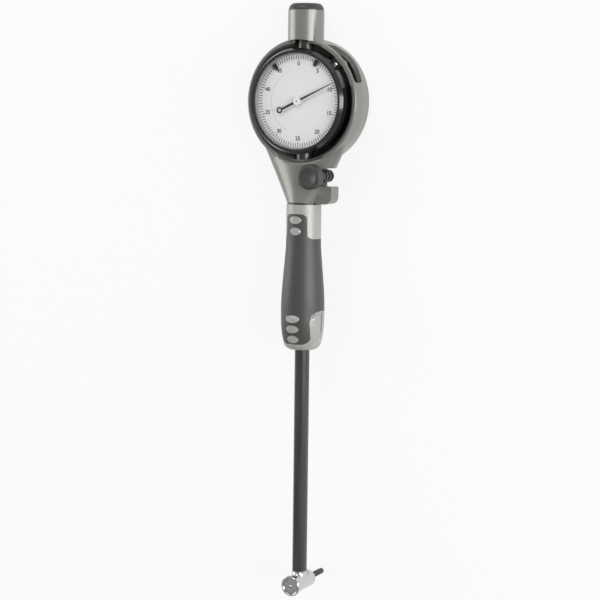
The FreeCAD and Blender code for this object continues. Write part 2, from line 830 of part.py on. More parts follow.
def stem():
    inner = "tube_radius - tube_wall"
    node(turned("Tube", [
        (inner, "collar_seat"),
        ("tube_spigot", "collar_seat"),
        ("tube_spigot", "collar_top"),
        ("tube_radius", "collar_top"),
        ("tube_radius", "tube_top"),
        (inner, "tube_top"),
    ]), "stem_tube")
    collar_top = "rod_collar_height + rod_collar_thick"
    node(turned("PushRod", [
        ("0", "crank_arm + crank_tip + end_gap"),
        ("rod_radius", "crank_arm + crank_tip + end_gap"),
        ("rod_radius", "rod_collar_height"),
        ("rod_collar_radius", "rod_collar_height"),
        ("rod_collar_radius", collar_top),
        ("rod_radius", collar_top),
        ("rod_radius", "rod_top"),
        ("0", "rod_top"),
    ]), "push_rod")
    bushes = []
    for word, low in (("Low", "bush_low"), ("High", "bush_high")):
        bushes.append(turned("Bush" + word, [
            ("rod_radius + running_gap", low),
            (f"{inner} - fit_gap", low),
            (f"{inner} - fit_gap", f"{low} + bush_length"),
            ("rod_radius + running_gap", f"{low} + bush_length"),
        ]))
    node(joined("Bushes", bushes), "guide_bushes")
    wire = size("coil_wire")
    spring = coil("RodSpring", (size("rod_radius") + size(inner)) / 2, wire,
                  size(collar_top + " + end_gap"), size("bush_low - end_gap"), size("rod_spring_turns"))
    node(spring, "push_rod_spring")


# ---------------------------------------------------------------- measuring head

def head():
    shell = turned("HeadShell", [
        ("0", "-nose_front"),
        ("nose_radius", "-nose_front"),
        ("nose_radius", "-head_front"),
        ("head_radius", "-head_front"),
        ("head_radius", "head_back - head_round"),
        ("head_radius - head_round", "head_back", "head_round"),
        ("0", "head_back"),
    ], Vector(), BACK)
    collar = rod("HeadCollar", "collar_radius", "0", "collar_top")
    bores = turned("HeadBores", [
        ("0", "-nose_front - 1"),
        ("spigot_bore", "-nose_front - 1"),
        ("spigot_bore", "-nose_front + spigot_depth + fit_gap"),
        ("contact_flange + running_gap", "-nose_front + spigot_depth + fit_gap"),
        ("contact_flange + running_gap", "-crank_arm - crank_tip"),
        ("contact_radius + end_gap", "-crank_arm - crank_tip"),
        ("contact_radius + end_gap", "contact_travel - crank_arm - crank_tip"),
        ("0", "contact_travel - crank_arm - crank_tip"),
    ], Vector(), BACK)
    groove = turned("SpringGroove", [
        ("nose_radius", "-head_front - 1"),
        ("groove_radius", "-head_front - 1"),
        ("groove_radius", "-head_front + groove_depth"),
        ("nose_radius", "-head_front + groove_depth"),
    ], Vector(), BACK)
    anvil_bore = rod("AnvilBore", "anvil_spigot + fit_gap", "anvil_root", "head_back + 1", Vector(), BACK)
    seat = rod("TubeSeat", "tube_spigot + fit_gap", "collar_seat", "collar_top + 1")
    rod_way = rod("RodWay", "rod_radius + running_gap", "crank_arm", "collar_seat + 1")
    slot = box("CrankSlot",
               ("-crank_half_thick - crank_side_gap", "-crank_arm - crank_hub - crank_side_gap",
                "-crank_tip - crank_side_gap * 4"),
               ("crank_half_thick + crank_side_gap", "crank_tip + crank_side_gap * 4", "collar_seat + 1"))
    pivot = Vector(0, -size("crank_arm"), size("crank_arm"))
    pin_hole = rod("PinHole", "pin_radius + fit_gap / 2", "-pin_half_length", "pin_half_length", pivot, SIDE)
    tools = [bores, groove, anvil_bore, seat, rod_way, slot, pin_hole]
    node(without("Head", joined("HeadBlank", [shell, collar]), tools), "head_body")

    node(rod("CrankPin", "pin_radius", "-pin_half_length", "pin_half_length", pivot, SIDE),
         "bell_crank_pin")
    thick = ("-crank_half_thick", "crank_half_thick")
    hub = rod("CrankHub", "crank_hub", *thick, pivot, SIDE)
    low_tip = rod("CrankLowTip", "crank_tip", *thick, Vector(0, pivot.y, 0), SIDE)
    back_tip = rod("CrankBackTip", "crank_tip", *thick, Vector(0, 0, pivot.z), SIDE)
    low_arm = box("CrankLowArm", (thick[0], "-crank_arm", "0"),
                  (thick[1], "crank_tip - crank_arm", "crank_arm"))
    back_arm = box("CrankBackArm", (thick[0], "-crank_arm", "crank_arm - crank_tip"),
                   (thick[1], "0", "crank_arm + crank_tip"))
    eye = rod("CrankEye", "pin_radius + running_gap", "-collar_radius", "collar_radius", pivot, SIDE)
    crank = joined("CrankBlank", [hub, low_tip, back_tip, low_arm, back_arm])
    node(without("Crank", crank, [eye]), "bell_crank")

    node(turned("Contact", [
        ("0", "-contact_tip"),
        ("contact_radius", "-contact_tip + contact_radius", "contact_radius"),
        ("contact_radius", "-contact_stop"),
        ("contact_flange", "-contact_stop"),
        ("contact_flange", "-contact_stop + contact_flange_thick"),
        ("contact_radius", "-contact_stop + contact_flange_thick"),
        ("contact_radius", "-crank_arm - crank_tip - end_gap"),
        ("0", "-crank_arm - crank_tip - end_gap"),
    ], Vector(), BACK), "sensing_contact")

    disc = turned("CapDisc", [
        ("contact_radius + running_gap", "-disc_front"),
        ("disc_radius", "-disc_front"),
        ("disc_radius", "-nose_front"),
        ("spigot_bore - fit_gap", "-nose_front"),
        ("spigot_bore - fit_gap", "-nose_front + spigot_depth"),
        ("contact_radius + running_gap", "-nose_front + spigot_depth"),
    ], Vector(), BACK)
    holes = []
    for index in range(2):
        angle = math.radians(180 * index - size("spanner_angle"))
        offset = size("spanner_offset")
        at = Vector(offset * math.sin(angle), 0, offset * math.cos(angle))
        holes.append(rod(f"SpannerHole{index}", "spanner_radius", "-disc_front - 1",
                         "-nose_front + 1", at, BACK))
    node(without("Cap", disc, holes), "head_cap")

    node(turned("Centralizer", [
        ("nose_radius + running_gap", "-web_front"),
        ("recess_radius", "-web_front"),
        ("recess_radius", "-flange_front"),
        ("flange_radius - flange_edge", "-flange_front"),
        ("flange_radius", "-flange_front + flange_edge"),
        ("flange_radius", "-head_front - centralizer_travel - end_gap"),
        ("nose_radius + running_gap", "-head_front - centralizer_travel - end_gap"),
    ], Vector(), BACK), "centralizer")
    wire = size("coil_wire")
    spring = coil("FlangeSpring", size("(nose_radius + groove_radius) / 2"), wire,
                  size("-head_front - centralizer_travel"), size("-head_front + groove_depth - end_gap"),
                  size("flange_spring_turns"), BACK)
    node(spring, "centralizer_spring")

    node(turned("Anvil", [
        ("0", "anvil_root"),
        ("anvil_spigot", "anvil_root"),
        ("anvil_spigot", "head_back"),
        ("anvil_radius", "head_back"),
        ("anvil_radius", "anvil_tip - anvil_radius"),
        ("0", "anvil_tip", "anvil_radius"),
    ], Vector(), BACK), "anvil_rod")


# ---------------------------------------------------------------- indicator body

def post_places(count=4, first=45.0):
    return [around_dial(size("post_circle"), first + 360 / count * index) for index in range(count)]


def indicator_case():
    ring = turned("CaseRing", [
        ("case_bore", "-case_front"),
        ("case_radius", "-case_front"),
        ("case_radius", "case_back"),
        ("case_opening", "case_back"),
        ("case_opening", "case_back - case_floor"),
        ("case_bore", "case_back - case_floor"),
    ], DIAL, BACK)
    posts = [rod(f"CasePost{index}", "post_radius", "-low_plate_back", "case_back - case_floor / 2", at, BACK)
             for index, at in enumerate(post_places())]
    angle = size("bezel_screw_angle")
    ear = box("CaseEar", ("-lug_width / 2", "-lug_front", "(case_radius + case_bore) / 2"),
              ("lug_width / 2", "case_lug_back", "case_lug_reach"))
    tilt = Rotation(Vector(0, 1, 0), angle)
    ear.Placement = Placement(DIAL, tilt) * ear.Placement
    screw_hole = rod("EarHole", "bezel_screw_shank + fit_gap", "-lug_front - 1", "case_lug_back + 1",
                     around_dial(size("bezel_screw_circle"), angle), BACK)
    top = "dial_height + spot_face"
    bottom = "dial_height - spot_face"
    top_flat = rod("TopFlat", "cap_radius + end_gap", top, f"{top} + 2")
    top_bore = rod("TopBore", "spindle_radius + running_gap", "dial_height + case_opening", f"{top} + 1")
    low_flat = rod("LowFlat", "stem_radius + end_gap", f"{bottom} - 2", bottom)
    low_bore = rod("LowBore", "stem_shank + fit_gap", f"{bottom} - 1", "dial_height - case_opening")
    blank = joined("CaseBlank", [ring, ear] + posts)
    tools = [screw_hole, top_flat, top_bore, low_flat, low_bore]
    node(without("Case", blank, tools), "indicator_case")

    cover = turned("Cover", [
        ("0", "case_back"),
        ("case_radius", "case_back"),
        ("case_radius", "case_back + cover_thick"),
        ("0", "case_back + cover_thick"),
    ], DIAL, BACK)
    seats = []
    screws = []
    cover_back = "case_back + cover_thick"
    for index, at in enumerate(post_places(first=0.0)):
        seats.append(rod(f"CoverHole{index}", "movement_screw * 2 + fit_gap", "case_back - 1",
                         f"{cover_back} + 1", at, BACK))
        screws.append(turned(f"CoverScrew{index}", [
            ("0", "case_back"),
            ("movement_screw * 2", "case_back"),
            ("movement_screw * 2", cover_back),
            ("movement_screw * 3", cover_back),
            ("movement_screw * 3", f"{cover_back} + movement_screw"),
            ("0", f"{cover_back} + movement_screw"),
        ], at, BACK))
    node(without("CaseCover", cover, seats), "case_back")
    node(joined("CoverScrews", screws), "case_back_screws")

    bore = "spindle_radius + running_gap"
    node(turned("IndicatorStem", [
        (bore, "stem_bottom"),
        ("stem_radius", "stem_bottom"),
        ("stem_radius", bottom),
        ("stem_shank", bottom),
        ("stem_shank", f"{bottom} + stem_shank_length"),
        (bore, f"{bottom} + stem_shank_length"),
    ]), "indicator_stem")
    cap_bore = "cap_radius - cap_wall"
    cap_under = "spindle_top + contact_travel + cap_room"
    node(turned("DustCap", [
        (cap_bore, top),
        ("cap_radius", top),
        ("cap_radius", f"{cap_under} + cap_wall"),
        ("0", f"{cap_under} + cap_wall"),
        ("0", cap_under),
        (cap_bore, cap_under),
    ]), "dust_cap")

    at = around_dial(size("bezel_screw_circle"), angle)
    node(turned("BezelScrew", [
        ("0", "-bezel_back + end_gap"),
        ("bezel_screw_shank", "-bezel_back + end_gap"),
        ("bezel_screw_shank", "bezel_screw_top"),
        ("bezel_screw_head", "bezel_screw_top"),
        ("bezel_screw_head", "bezel_screw_back - bezel_screw_edge"),
        ("bezel_screw_head - bezel_screw_edge", "bezel_screw_back"),
        ("0", "bezel_screw_back"),
    ], at, BACK), "bezel_clamp_screw")


# ---------------------------------------------------------------- bezel and dial

def bezel_group():
    skirt = "case_radius + bezel_skirt_gap"
    dial_back = "-dial_front + dial_thick"
    node(turned("Bezel", [
        (skirt, "-bezel_back"),
        ("bezel_radius", "-bezel_back"),
        ("bezel_radius", "-bezel_shoulder"),
        ("bezel_face", "-bezel_front"),
        ("bezel_lip", "-bezel_front"),
        ("bezel_lip", "-crystal_front"),
        ("bezel_seat", "-crystal_front"),
        ("bezel_seat", dial_back),
        ("bezel_ledge", dial_back),
        ("bezel_ledge", "-case_front - end_gap * 2"),
        (skirt, "-case_front - end_gap * 2"),
    ], DIAL, BACK), "bezel")
    edge = "bezel_seat - fit_gap"
    node(turned("Crystal", [
        ("0", "-crystal_front"),
        (edge, "-crystal_front"),
        (edge, "-crystal_back"),
        ("0", "-crystal_back"),
    ], DIAL, BACK), "crystal")
    node(turned("DialRing", [
        ("ring_inner_low", "-dial_front"),
        (edge, "-dial_front"),
        (edge, "-crystal_back"),
        ("ring_inner_high", "-crystal_back"),
    ], DIAL, BACK), "dial_ring")

    disc = turned("DialDisc", [
        ("dial_hole", "-dial_front"),
        (edge, "-dial_front"),
        (edge, dial_back),
        ("dial_hole", dial_back),
    ], DIAL, BACK)
    marks = []
    count = int(size("tick_count"))
    for index in range(count):
        length = size("tick_long" if index % 10 == 0 else "tick_length")
        mark = Part.makeBox(size("tick_width"), size("tick_depth * 2"), length,
                            Vector(-size("tick_width") / 2, -size("dial_front + tick_depth"),
                                   size("tick_outer") - length))
        mark.rotate(Vector(), Vector(0, 1, 0), 360 * index / count)
        marks.append(mark)
    graduations = place(shaped("Graduations", Part.makeCompound(marks)), DIAL)
    node(without("Dial", disc, [graduations]), "dial_face")

    for name, label, angle in (("HandLeft", "tolerance_hand_left", "hand_left_angle"),
                               ("HandRight", "tolerance_hand_right", "hand_right_angle")):
        hand = plate(name, [
            ("-hand_half_width / 2", "hand_inner"),
            ("hand_half_width / 2", "hand_inner"),
            ("hand_half_width", "hand_inner + hand_half_width"),
            ("hand_half_width", "hand_outer"),
            ("-hand_half_width", "hand_outer"),
            ("-hand_half_width", "hand_inner + hand_half_width"),
        ], "hand_front", "hand_thick - hand_front", DIAL, Rotation(Vector(0, 1, 0), size(angle)))
        node(hand, label)


def pointer_group():
    turn = Rotation(Vector(0, 1, 0), size("pointer_angle"))
    back = "pointer_thick - pointer_front"
    slim = "pointer_ring - pointer_ring_hole"
    needle = plate("Needle", [
        (f"-({slim}) * 0.8", "-pointer_tail + pointer_ring_hole"),
        (f"({slim}) * 0.8", "-pointer_tail + pointer_ring_hole"),
        (f"({slim}) * 0.8", "0"),
        (f"({slim}) * 0.2", "pointer_tip"),
        (f"-({slim}) * 0.2", "pointer_tip"),
        (f"-({slim}) * 0.8", "0"),
    ], "pointer_front", back, DIAL, turn)
    tail_at = around_dial(-size("pointer_tail"), size("pointer_angle"))
    boss = rod("NeedleBoss", "hub_bore * 1.8", "-pointer_front", back, DIAL, BACK)
    ring = rod("NeedleRing", "pointer_ring", "-pointer_front", back, tail_at, BACK)
    eye = rod("NeedleEye", "pointer_ring_hole", "-pointer_front - 1", f"{back} + 1", tail_at, BACK)
    bore = rod("NeedleBore", "hub_bore", "-pointer_front - 1", f"{back} + 1", DIAL, BACK)
    blank = joined("NeedleBlank", [needle, boss, ring])
    node(without("Pointer", blank, [eye, bore]), "pointer")
    node(turned("Hub", [
        ("arbor_radius", "-hub_front"),
        ("hub_radius", "-hub_front"),
        ("hub_radius", "-pointer_front"),
        ("hub_bore", "-pointer_front"),
        ("hub_bore", "-hub_back"),
        ("arbor_radius", "-hub_back"),
    ], DIAL, BACK), "pointer_hub")


# ---------------------------------------------------------------- movement

# Places of the tooth's corners beside its middle, in parts of the pitch.
TOOTH_FOOT = 0.33
TOOTH_TIP = 0.10
RACK_TIP = 0.40
RACK_FOOT = 0.17


def arbor_places():
    """Centres of the drive arbor and of the take-up arbor."""
    module = size("gear_module")
    across = size("rack_pitch_line") + module * size("rack_teeth") / 2
    drive_span = module * size("drive_teeth + centre_teeth") / 2
    drive = DIAL - Vector(across, 0, math.sqrt(drive_span ** 2 - across ** 2))
    take_up_span = module * size("take_up_teeth + centre_teeth") / 2
    return drive, around_dial(take_up_span, size("take_up_angle"))


def bearing(centre, other):
    """Direction from one arbor to another, in degrees clockwise from the top."""
    return math.degrees(math.atan2(other.x - centre.x, other.z - centre.z))


def wheel(name, teeth, centre, tooth_at, front, back):
    """Toothed disc in x and z. One tooth points to `tooth_at` degrees clockwise from the top."""
    module = size("gear_module")
    pitch_radius = module * teeth / 2
    tip_radius = pitch_radius + size("tooth_rise") * module
    root_radius = pitch_radius - size("tooth_root") * module
    step = 2 * math.pi / teeth
    flanks = ((root_radius, -TOOTH_FOOT), (tip_radius, -TOOTH_TIP), (tip_radius, TOOTH_TIP),
              (root_radius, TOOTH_FOOT))
    points = []
    for index in range(teeth):
        middle = math.radians(tooth_at) + index * step
        for radius, offset in flanks:
            angle = middle + offset * step
            points.append(Vector(radius * math.sin(angle), 0, radius * math.cos(angle)))
    face = Part.Face(Part.makePolygon(points + points[:1]))
    face.translate(Vector(0, -front, 0))
    solid = face.extrude(Vector(0, front - back, 0))
    return place(shaped(name, solid), centre)


def arbor(name, front, back, centre):
    return rod(name, "arbor_radius", f"-({front})", f"-({back})", centre, BACK)


def gear_train():
    drive, take_up = arbor_places()
    rack_teeth = int(size("rack_teeth"))
    drive_teeth = int(size("drive_teeth"))
    centre_teeth = int(size("centre_teeth"))
    take_up_teeth = int(size("take_up_teeth"))
    wheel_front = size("wheel_front")
    wheel_back = size("wheel_back")

    # The rack lies to the right of its pinion, so one tooth of the pinion points right.
    rack_reach = size("low_plate_back - pinion_gap")
    pinion = wheel("RackPinionTeeth", rack_teeth, drive, 90, rack_reach, size("bridge_front + pinion_gap"))
    drive_arbor = arbor("DriveArbor", "up_plate_front - end_gap", "bridge_back + end_gap", drive)
    node(joined("RackPinion", [pinion, drive_arbor]), "rack_pinion")

    to_centre = bearing(drive, DIAL)
    disc = wheel("DriveTeeth", drive_teeth, drive, to_centre, wheel_front, wheel_back)
    node(without("DriveWheel", disc, [rod("DriveBore", "arbor_radius", "-up_plate_front", "0", drive, BACK)]),
         "drive_gear")

    # The centre pinion has a gap where the drive wheel's tooth points, and the take-up wheel follows it.
    centre_tooth = to_centre + 180 + 180 / centre_teeth
    pinion = wheel("CentreTeeth", centre_teeth, DIAL, centre_tooth, wheel_front + size("end_gap * 2"),
                   wheel_back - size("end_gap * 2"))
    centre_arbor = arbor("CentreArbor", "hub_front", "low_plate_back + end_gap", DIAL)
    node(joined("CentrePinion", [pinion, centre_arbor]), "centre_pinion")

    to_take_up = bearing(DIAL, take_up)
    past_tooth = math.fmod(to_take_up - centre_tooth, 360 / centre_teeth) * centre_teeth / 360
    tooth_at = to_take_up + 180 + (0.5 + past_tooth) * 360 / take_up_teeth
    teeth = wheel("TakeUpTeeth", take_up_teeth, take_up, tooth_at, wheel_front, wheel_back)
    shaft = arbor("TakeUpArbor", "up_plate_front - end_gap", "low_plate_back + end_gap", take_up)
    node(joined("TakeUpWheel", [teeth, shaft]), "hairspring_gear")
    hairspring(take_up)


def hairspring(centre):
    """Flat spiral strip around the take-up arbor."""
    turns = int(size("hairspring_turns"))
    inner = size("arbor_radius + end_gap * 3")
    outer = size("gear_module * take_up_teeth / 2 - end_gap * 6")
    thick = size("end_gap")
    per_turn = 12

    def edge(extra):
        points = []
        for index in range(turns * per_turn + 1):
            angle = 2 * math.pi * index / per_turn
            radius = inner + extra + (outer - inner) * index / (turns * per_turn)
            points.append(Vector(radius * math.cos(angle), 0, radius * math.sin(angle)))
        curve = Part.BSplineCurve()
        curve.interpolate(points)
        return curve.toShape(), points[0], points[-1]

    near, near_start, near_end = edge(0.0)
    far, far_start, far_end = edge(thick)
    strip = Part.Face(Part.Wire(Part.__sortEdges__(
        [near, far, Part.makeLine(near_start, far_start), Part.makeLine(near_end, far_end)])))
    gap = size("wheel_back - low_plate_front")
    strip.translate(Vector(0, -size("wheel_back") + gap * 0.25, 0))
    node(place(shaped("Hairspring", strip.extrude(Vector(0, gap * 0.4, 0))), centre), "hairspring")


def spindle():
    blank = turned("SpindleBlank", [
        ("0", "spindle_bottom"),
        ("spindle_radius", "spindle_bottom"),
        ("spindle_radius", "spindle_collar_height"),
        ("spindle_collar", "spindle_collar_height"),
        ("spindle_collar", "spindle_collar_height + rod_collar_thick"),
        ("spindle_radius", "spindle_collar_height + rod_collar_thick"),
        ("spindle_radius", "spindle_top"),
        ("0", "spindle_top"),
    ])
    drive, _ = arbor_places()
    module = size("gear_module")
    pitch = math.pi * module
    line = size("rack_pitch_line")
    tip = line + size("tooth_rise") * module
    root = line - size("tooth_root") * module
    clear = size("spindle_radius") + 1
    gaps_below = int((drive.z - size("rack_low")) / pitch)
    gaps_above = int((size("rack_high") - drive.z) / pitch)
    low = drive.z - (gaps_below + 0.5) * pitch
    high = drive.z + (gaps_above + 0.5) * pitch
    # A gap of the rack faces the pinion's tooth at the height of the pinion's arbor.
    points = [Vector(-clear, -clear, low), Vector(-tip, -clear, low)]
    for index in range(-gaps_below, gaps_above + 1):
        middle = drive.z + index * pitch
        for across, offset in ((tip, -RACK_TIP), (root, -RACK_FOOT), (root, RACK_FOOT), (tip, RACK_TIP)):
            points.append(Vector(-across, -clear, middle + offset * pitch))
    points += [Vector(-tip, -clear, high), Vector(-clear, -clear, high)]
    cutter = Part.Face(Part.makePolygon(points + points[:1])).extrude(Vector(0, 2 * clear, 0))
    node(without("Spindle", blank, [shaped("RackCutter", cutter)]), "spindle")

    node(turned("ContactPoint", [
        ("0", "rod_top + end_gap"),
        ("tip_radius", "rod_top + end_gap + tip_radius", "tip_radius"),
        ("tip_body", "rod_top + end_gap + tip_radius * 1.2"),
        ("tip_body", "spindle_bottom"),
        ("0", "spindle_bottom"),
    ]), "contact_point")
    spring = coil("ReturnSpring", size("(spindle_radius + spindle_collar) / 2"), size("coil_wire"),
                  size("spindle_collar_height + rod_collar_thick + end_gap"),
                  size("dial_height + case_bore - end_gap * 4"), size("return_spring_turns"))
    node(spring, "return_spring")


def pillar_places():
    """Two pillars near the take-up wheel and one between the wheels, further out."""
    places = []
    for circle, angle in (("pillar_circle", "pillar_low_angle"), ("pillar_circle", "pillar_side_angle"),
                          ("pillar_wide_circle", "pillar_wide_angle")):
        places.append(around_dial(size(circle), size(angle)))
    return places


def movement_plates():
    drive, take_up = arbor_places()
    hole = "arbor_radius + running_gap"
    low = turned("LowPlateDisc", [
        ("0", "-low_plate_front"),
        ("plate_radius", "-low_plate_front"),
        ("plate_radius", "-low_plate_back"),
        ("0", "-low_plate_back"),
    ], DIAL, BACK)
    pillars = [rod(f"Pillar{index}", "pillar_radius", "-up_plate_back", "-low_plate_back", at, BACK)
               for index, at in enumerate(pillar_places())]
    window = box("PlateWindow", ("-plate_window", "-low_plate_front - 1", "spindle_collar_height - 2"),
                 ("plate_window", "1 - low_plate_back", "dial_height + plate_radius + 1"))
    tools = [window]
    screws = []
    for index, at in enumerate((DIAL, drive, take_up)):
        tools.append(rod(f"LowPivot{index}", hole, "-low_plate_front - 1", "1 - low_plate_back", at, BACK))
    for index, at in enumerate(post_places()):
        tools.append(rod(f"PlateHole{index}", "movement_screw * 1.5 + fit_gap", "-low_plate_front - 1",
                         "1 - low_plate_back", at, BACK))
        screws.append(turned(f"PlateScrew{index}", [
            ("0", "-low_plate_front - movement_screw"),
            ("movement_screw * 2.5", "-low_plate_front - movement_screw"),
            ("movement_screw * 2.5", "-low_plate_front"),
            ("movement_screw * 1.5", "-low_plate_front"),
            ("movement_screw * 1.5", "-low_plate_back"),
            ("0", "-low_plate_back"),
        ], at, BACK))
    pillar_screws = []
    up_tools = []
    shank_end = "-up_plate_back + movement_screw"
    for index, at in enumerate(pillar_places()):
        tools.append(rod(f"PillarHole{index}", "movement_screw + fit_gap", "-up_plate_back - 1",
                         shank_end, at, BACK))
        up_tools.append(rod(f"UpHole{index}", "movement_screw + fit_gap", "-up_plate_front - 1",
                            "1 - up_plate_back", at, BACK))
        pillar_screws.append(turned(f"PillarScrew{index}", [
            ("0", "-up_plate_front - movement_screw"),
            ("movement_screw * 2", "-up_plate_front - movement_screw"),
            ("movement_screw * 2", "-up_plate_front"),
            ("movement_screw", "-up_plate_front"),
            ("movement_screw", shank_end),
            ("0", shank_end),
        ], at, BACK))
    node(without("LowPlate", joined("LowPlateBlank", [low] + pillars), tools), "lower_plate")
    node(joined("PlateScrews", screws), "plate_screws")
    node(joined("PillarScrews", pillar_screws), "pillar_screws")

    up = turned("UpPlateDisc", [
        ("0", "-up_plate_front"),
        ("up_plate_radius", "-up_plate_front"),
        ("up_plate_radius", "-up_plate_back"),
        ("0", "-up_plate_back"),
    ], DIAL, BACK)
    for index, at in enumerate((DIAL, drive, take_up)):
        up_tools.append(rod(f"UpPivot{index}", hole, "-up_plate_front - 1", "1 - up_plate_back", at, BACK))
    node(without("UpPlate", up, up_tools), "upper_plate")

    strap = plate("BridgeStrap", [
        ("-bridge_reach - pillar_radius * 2", "-pillar_radius * 2"),
        ("bridge_nose", "-pillar_radius * 2"),
        ("bridge_nose", "pillar_radius * 2"),
        ("-bridge_reach - pillar_radius * 2", "pillar_radius * 2"),
    ], "bridge_front", "-bridge_back", drive)
    leg = rod("BridgeLeg", "pillar_radius * 1.5", "-low_plate_back", "-bridge_front",
              drive - Vector(size("bridge_reach"), 0, 0), BACK)
    pivot = rod("BridgePivot", hole, "-bridge_front - 1", "1 - bridge_back", drive, BACK)
    node(without("Bridge", joined("BridgeBlank", [strap, leg]), [pivot]), "rack_bridge")


# ---------------------------------------------------------------- build, check and write

def centre_on_floor():
    """Moves the laid gauge so that the origin is in the middle of its footprint."""
    whole = Part.makeCompound([thing.Shape for thing in NODES])
    extent = whole.optimalBoundingBox(False, False)
    middle = Vector(extent.Center.x, extent.Center.y, 0)
    for thing in NODES:
        thing.Placement = Placement(-middle, UP) * thing.Placement
    return Placement(-middle, UP) * REST


def check():
    for thing in doc.Objects:
        if "Invalid" in thing.State or "Error" in thing.State:
            raise RuntimeError(f"{thing.Name} failed: {thing.State}")
    for thing in NODES:
        shape = thing.Shape
        if shape.isNull() or not shape.isValid() or not shape.Solids or shape.Volume <= 0:
            raise RuntimeError(f"{thing.Label} has no sound solid")


def write():
    os.makedirs("parts", exist_ok=True)
    for thing in NODES:
        thing.Shape.exportStep(f"parts/{thing.Label}.step")


housing()
top_plug()
clamp()
handle()
stem()
head()
indicator_case()
bezel_group()
pointer_group()
gear_train()
spindle()
movement_plates()
doc.recompute()
check()
LAID = centre_on_floor()
doc.recompute()
check()
write()
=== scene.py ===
"""Looks of a dial bore gauge that lies on its back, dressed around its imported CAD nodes.

Lengths are in metres, in the frame of the CAD model. On the gauge, a place is given from the dial's
centre: `right` of it, `behind` it, and `above` it along the stem, towards the boss.
"""
import json
import math

import bmesh
import bpy
import numpy as np
from bpy.props import FloatProperty, FloatVectorProperty, IntProperty, PointerProperty
from mathutils import Matrix, Vector


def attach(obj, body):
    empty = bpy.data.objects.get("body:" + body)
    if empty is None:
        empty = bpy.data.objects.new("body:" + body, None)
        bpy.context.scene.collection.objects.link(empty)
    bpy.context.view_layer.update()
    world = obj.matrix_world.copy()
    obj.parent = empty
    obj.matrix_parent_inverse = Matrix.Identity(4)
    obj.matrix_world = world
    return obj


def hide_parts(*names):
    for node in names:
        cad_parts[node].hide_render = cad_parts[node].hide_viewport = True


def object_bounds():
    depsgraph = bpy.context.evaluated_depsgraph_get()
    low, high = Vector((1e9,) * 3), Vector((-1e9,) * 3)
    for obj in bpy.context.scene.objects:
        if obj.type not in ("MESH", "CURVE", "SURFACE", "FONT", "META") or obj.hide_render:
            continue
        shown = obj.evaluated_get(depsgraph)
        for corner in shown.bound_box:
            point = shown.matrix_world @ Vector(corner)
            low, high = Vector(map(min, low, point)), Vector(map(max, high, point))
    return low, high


bl_info = {
    "name": "Dial bore gauge",
    "version": (1, 0, 0),
    "blender": (4, 5, 0),
    "location": "View3D > Sidebar > Bore gauge",
    "description": "Dresses a dial bore gauge with its finishes, dial print and stage",
    "category": "Object",
}

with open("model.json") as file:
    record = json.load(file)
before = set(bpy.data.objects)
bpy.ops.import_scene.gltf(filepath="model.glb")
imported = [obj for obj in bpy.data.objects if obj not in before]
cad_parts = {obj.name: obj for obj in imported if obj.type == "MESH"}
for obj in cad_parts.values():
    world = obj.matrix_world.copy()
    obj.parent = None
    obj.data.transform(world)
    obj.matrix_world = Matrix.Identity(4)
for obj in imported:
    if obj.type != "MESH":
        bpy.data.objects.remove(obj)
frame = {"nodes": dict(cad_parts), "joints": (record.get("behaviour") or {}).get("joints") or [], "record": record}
RECORD = frame["record"]
JOINTS = {joint["name"]: joint for joint in frame["joints"]}
BODY_OF = {node: body for body, nodes in RECORD["behaviour"]["bodies"].items() for node in nodes}
SLOT_OF = {row["node"]: row["material_slot"] for row in RECORD["subparts"]}
CAD_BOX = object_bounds()

MM = 0.001
MERGE = MM / 1000                           # corners nearer than this are one
ROUND = 2 * math.pi
RIGHT = np.array((1.0, 0.0, 0.0))
BEHIND = np.array(JOINTS["bezel_turn"]["axis"])
ABOVE = np.array(JOINTS["spindle_slide"]["axis"])
DIAL = np.array(JOINTS["bezel_turn"]["pos_m"])
LEAN = math.atan2(ABOVE[2], ABOVE[1])       # of the stem, above the floor

# CAD nodes whose shape is kept, but that get smooth shading between their sharp edges.
SMOOTHED = ("indicator_housing", "top_plug", "neck_ring", "clamp_screw", "bezel", "head_body", "head_cap",
            "centralizer", "stem_tube", "bezel_clamp_screw", "handle_core", "grip_overmould", "dial_ring",
            "anvil_rod", "sensing_contact", "pointer")
SHARP = math.radians(24)                    # edges sharper than this stay sharp
# Steel pieces given a dark steel finish as painted shade, because they sit in the shaded gap round the bezel.
SHADE_PAINTED_STEEL = ("indicator_stem", "dust_cap", "spindle", "contact_point")

# Lamps: name, place from the gauge's middle, width, height and power in watts.
LAMPS = (
    ("right_box", (1.1, 0.1, 0.42), 0.45, 1.1, 11.0),
    ("left_box", (-1.15, 0.2, 0.4), 0.5, 1.0, 6.0),
    ("head_box", (-0.2, 1.3, 0.9), 1.0, 0.4, 6.0),
)
SENSOR_MM = 36.0
FLOOR_HALF = 4.0
FLOOR_GLOW = 0.86                           # share of the floor that shows plain white


def laid(right, behind, above):
    """Point or points of the gauge: dial centre + right, behind and above along the gauge's own axes."""
    right, behind, above = np.broadcast_arrays(right, behind, above)
    return DIAL + right[..., None] * RIGHT + behind[..., None] * BEHIND + above[..., None] * ABOVE


def from_dial(point):
    """Right, behind and above of a point or points of the frame."""
    off = np.asarray(point) - DIAL
    return off @ RIGHT, off @ BEHIND, off @ ABOVE


def corners_of(node):
    """Corners of a CAD node, as an array (count, 3)."""
    vertices = frame["nodes"][node].data.vertices
    flat = np.empty(len(vertices) * 3)
    vertices.foreach_get("co", flat)
    return flat.reshape(-1, 3)


# ---------------------------------------------------------------- settings

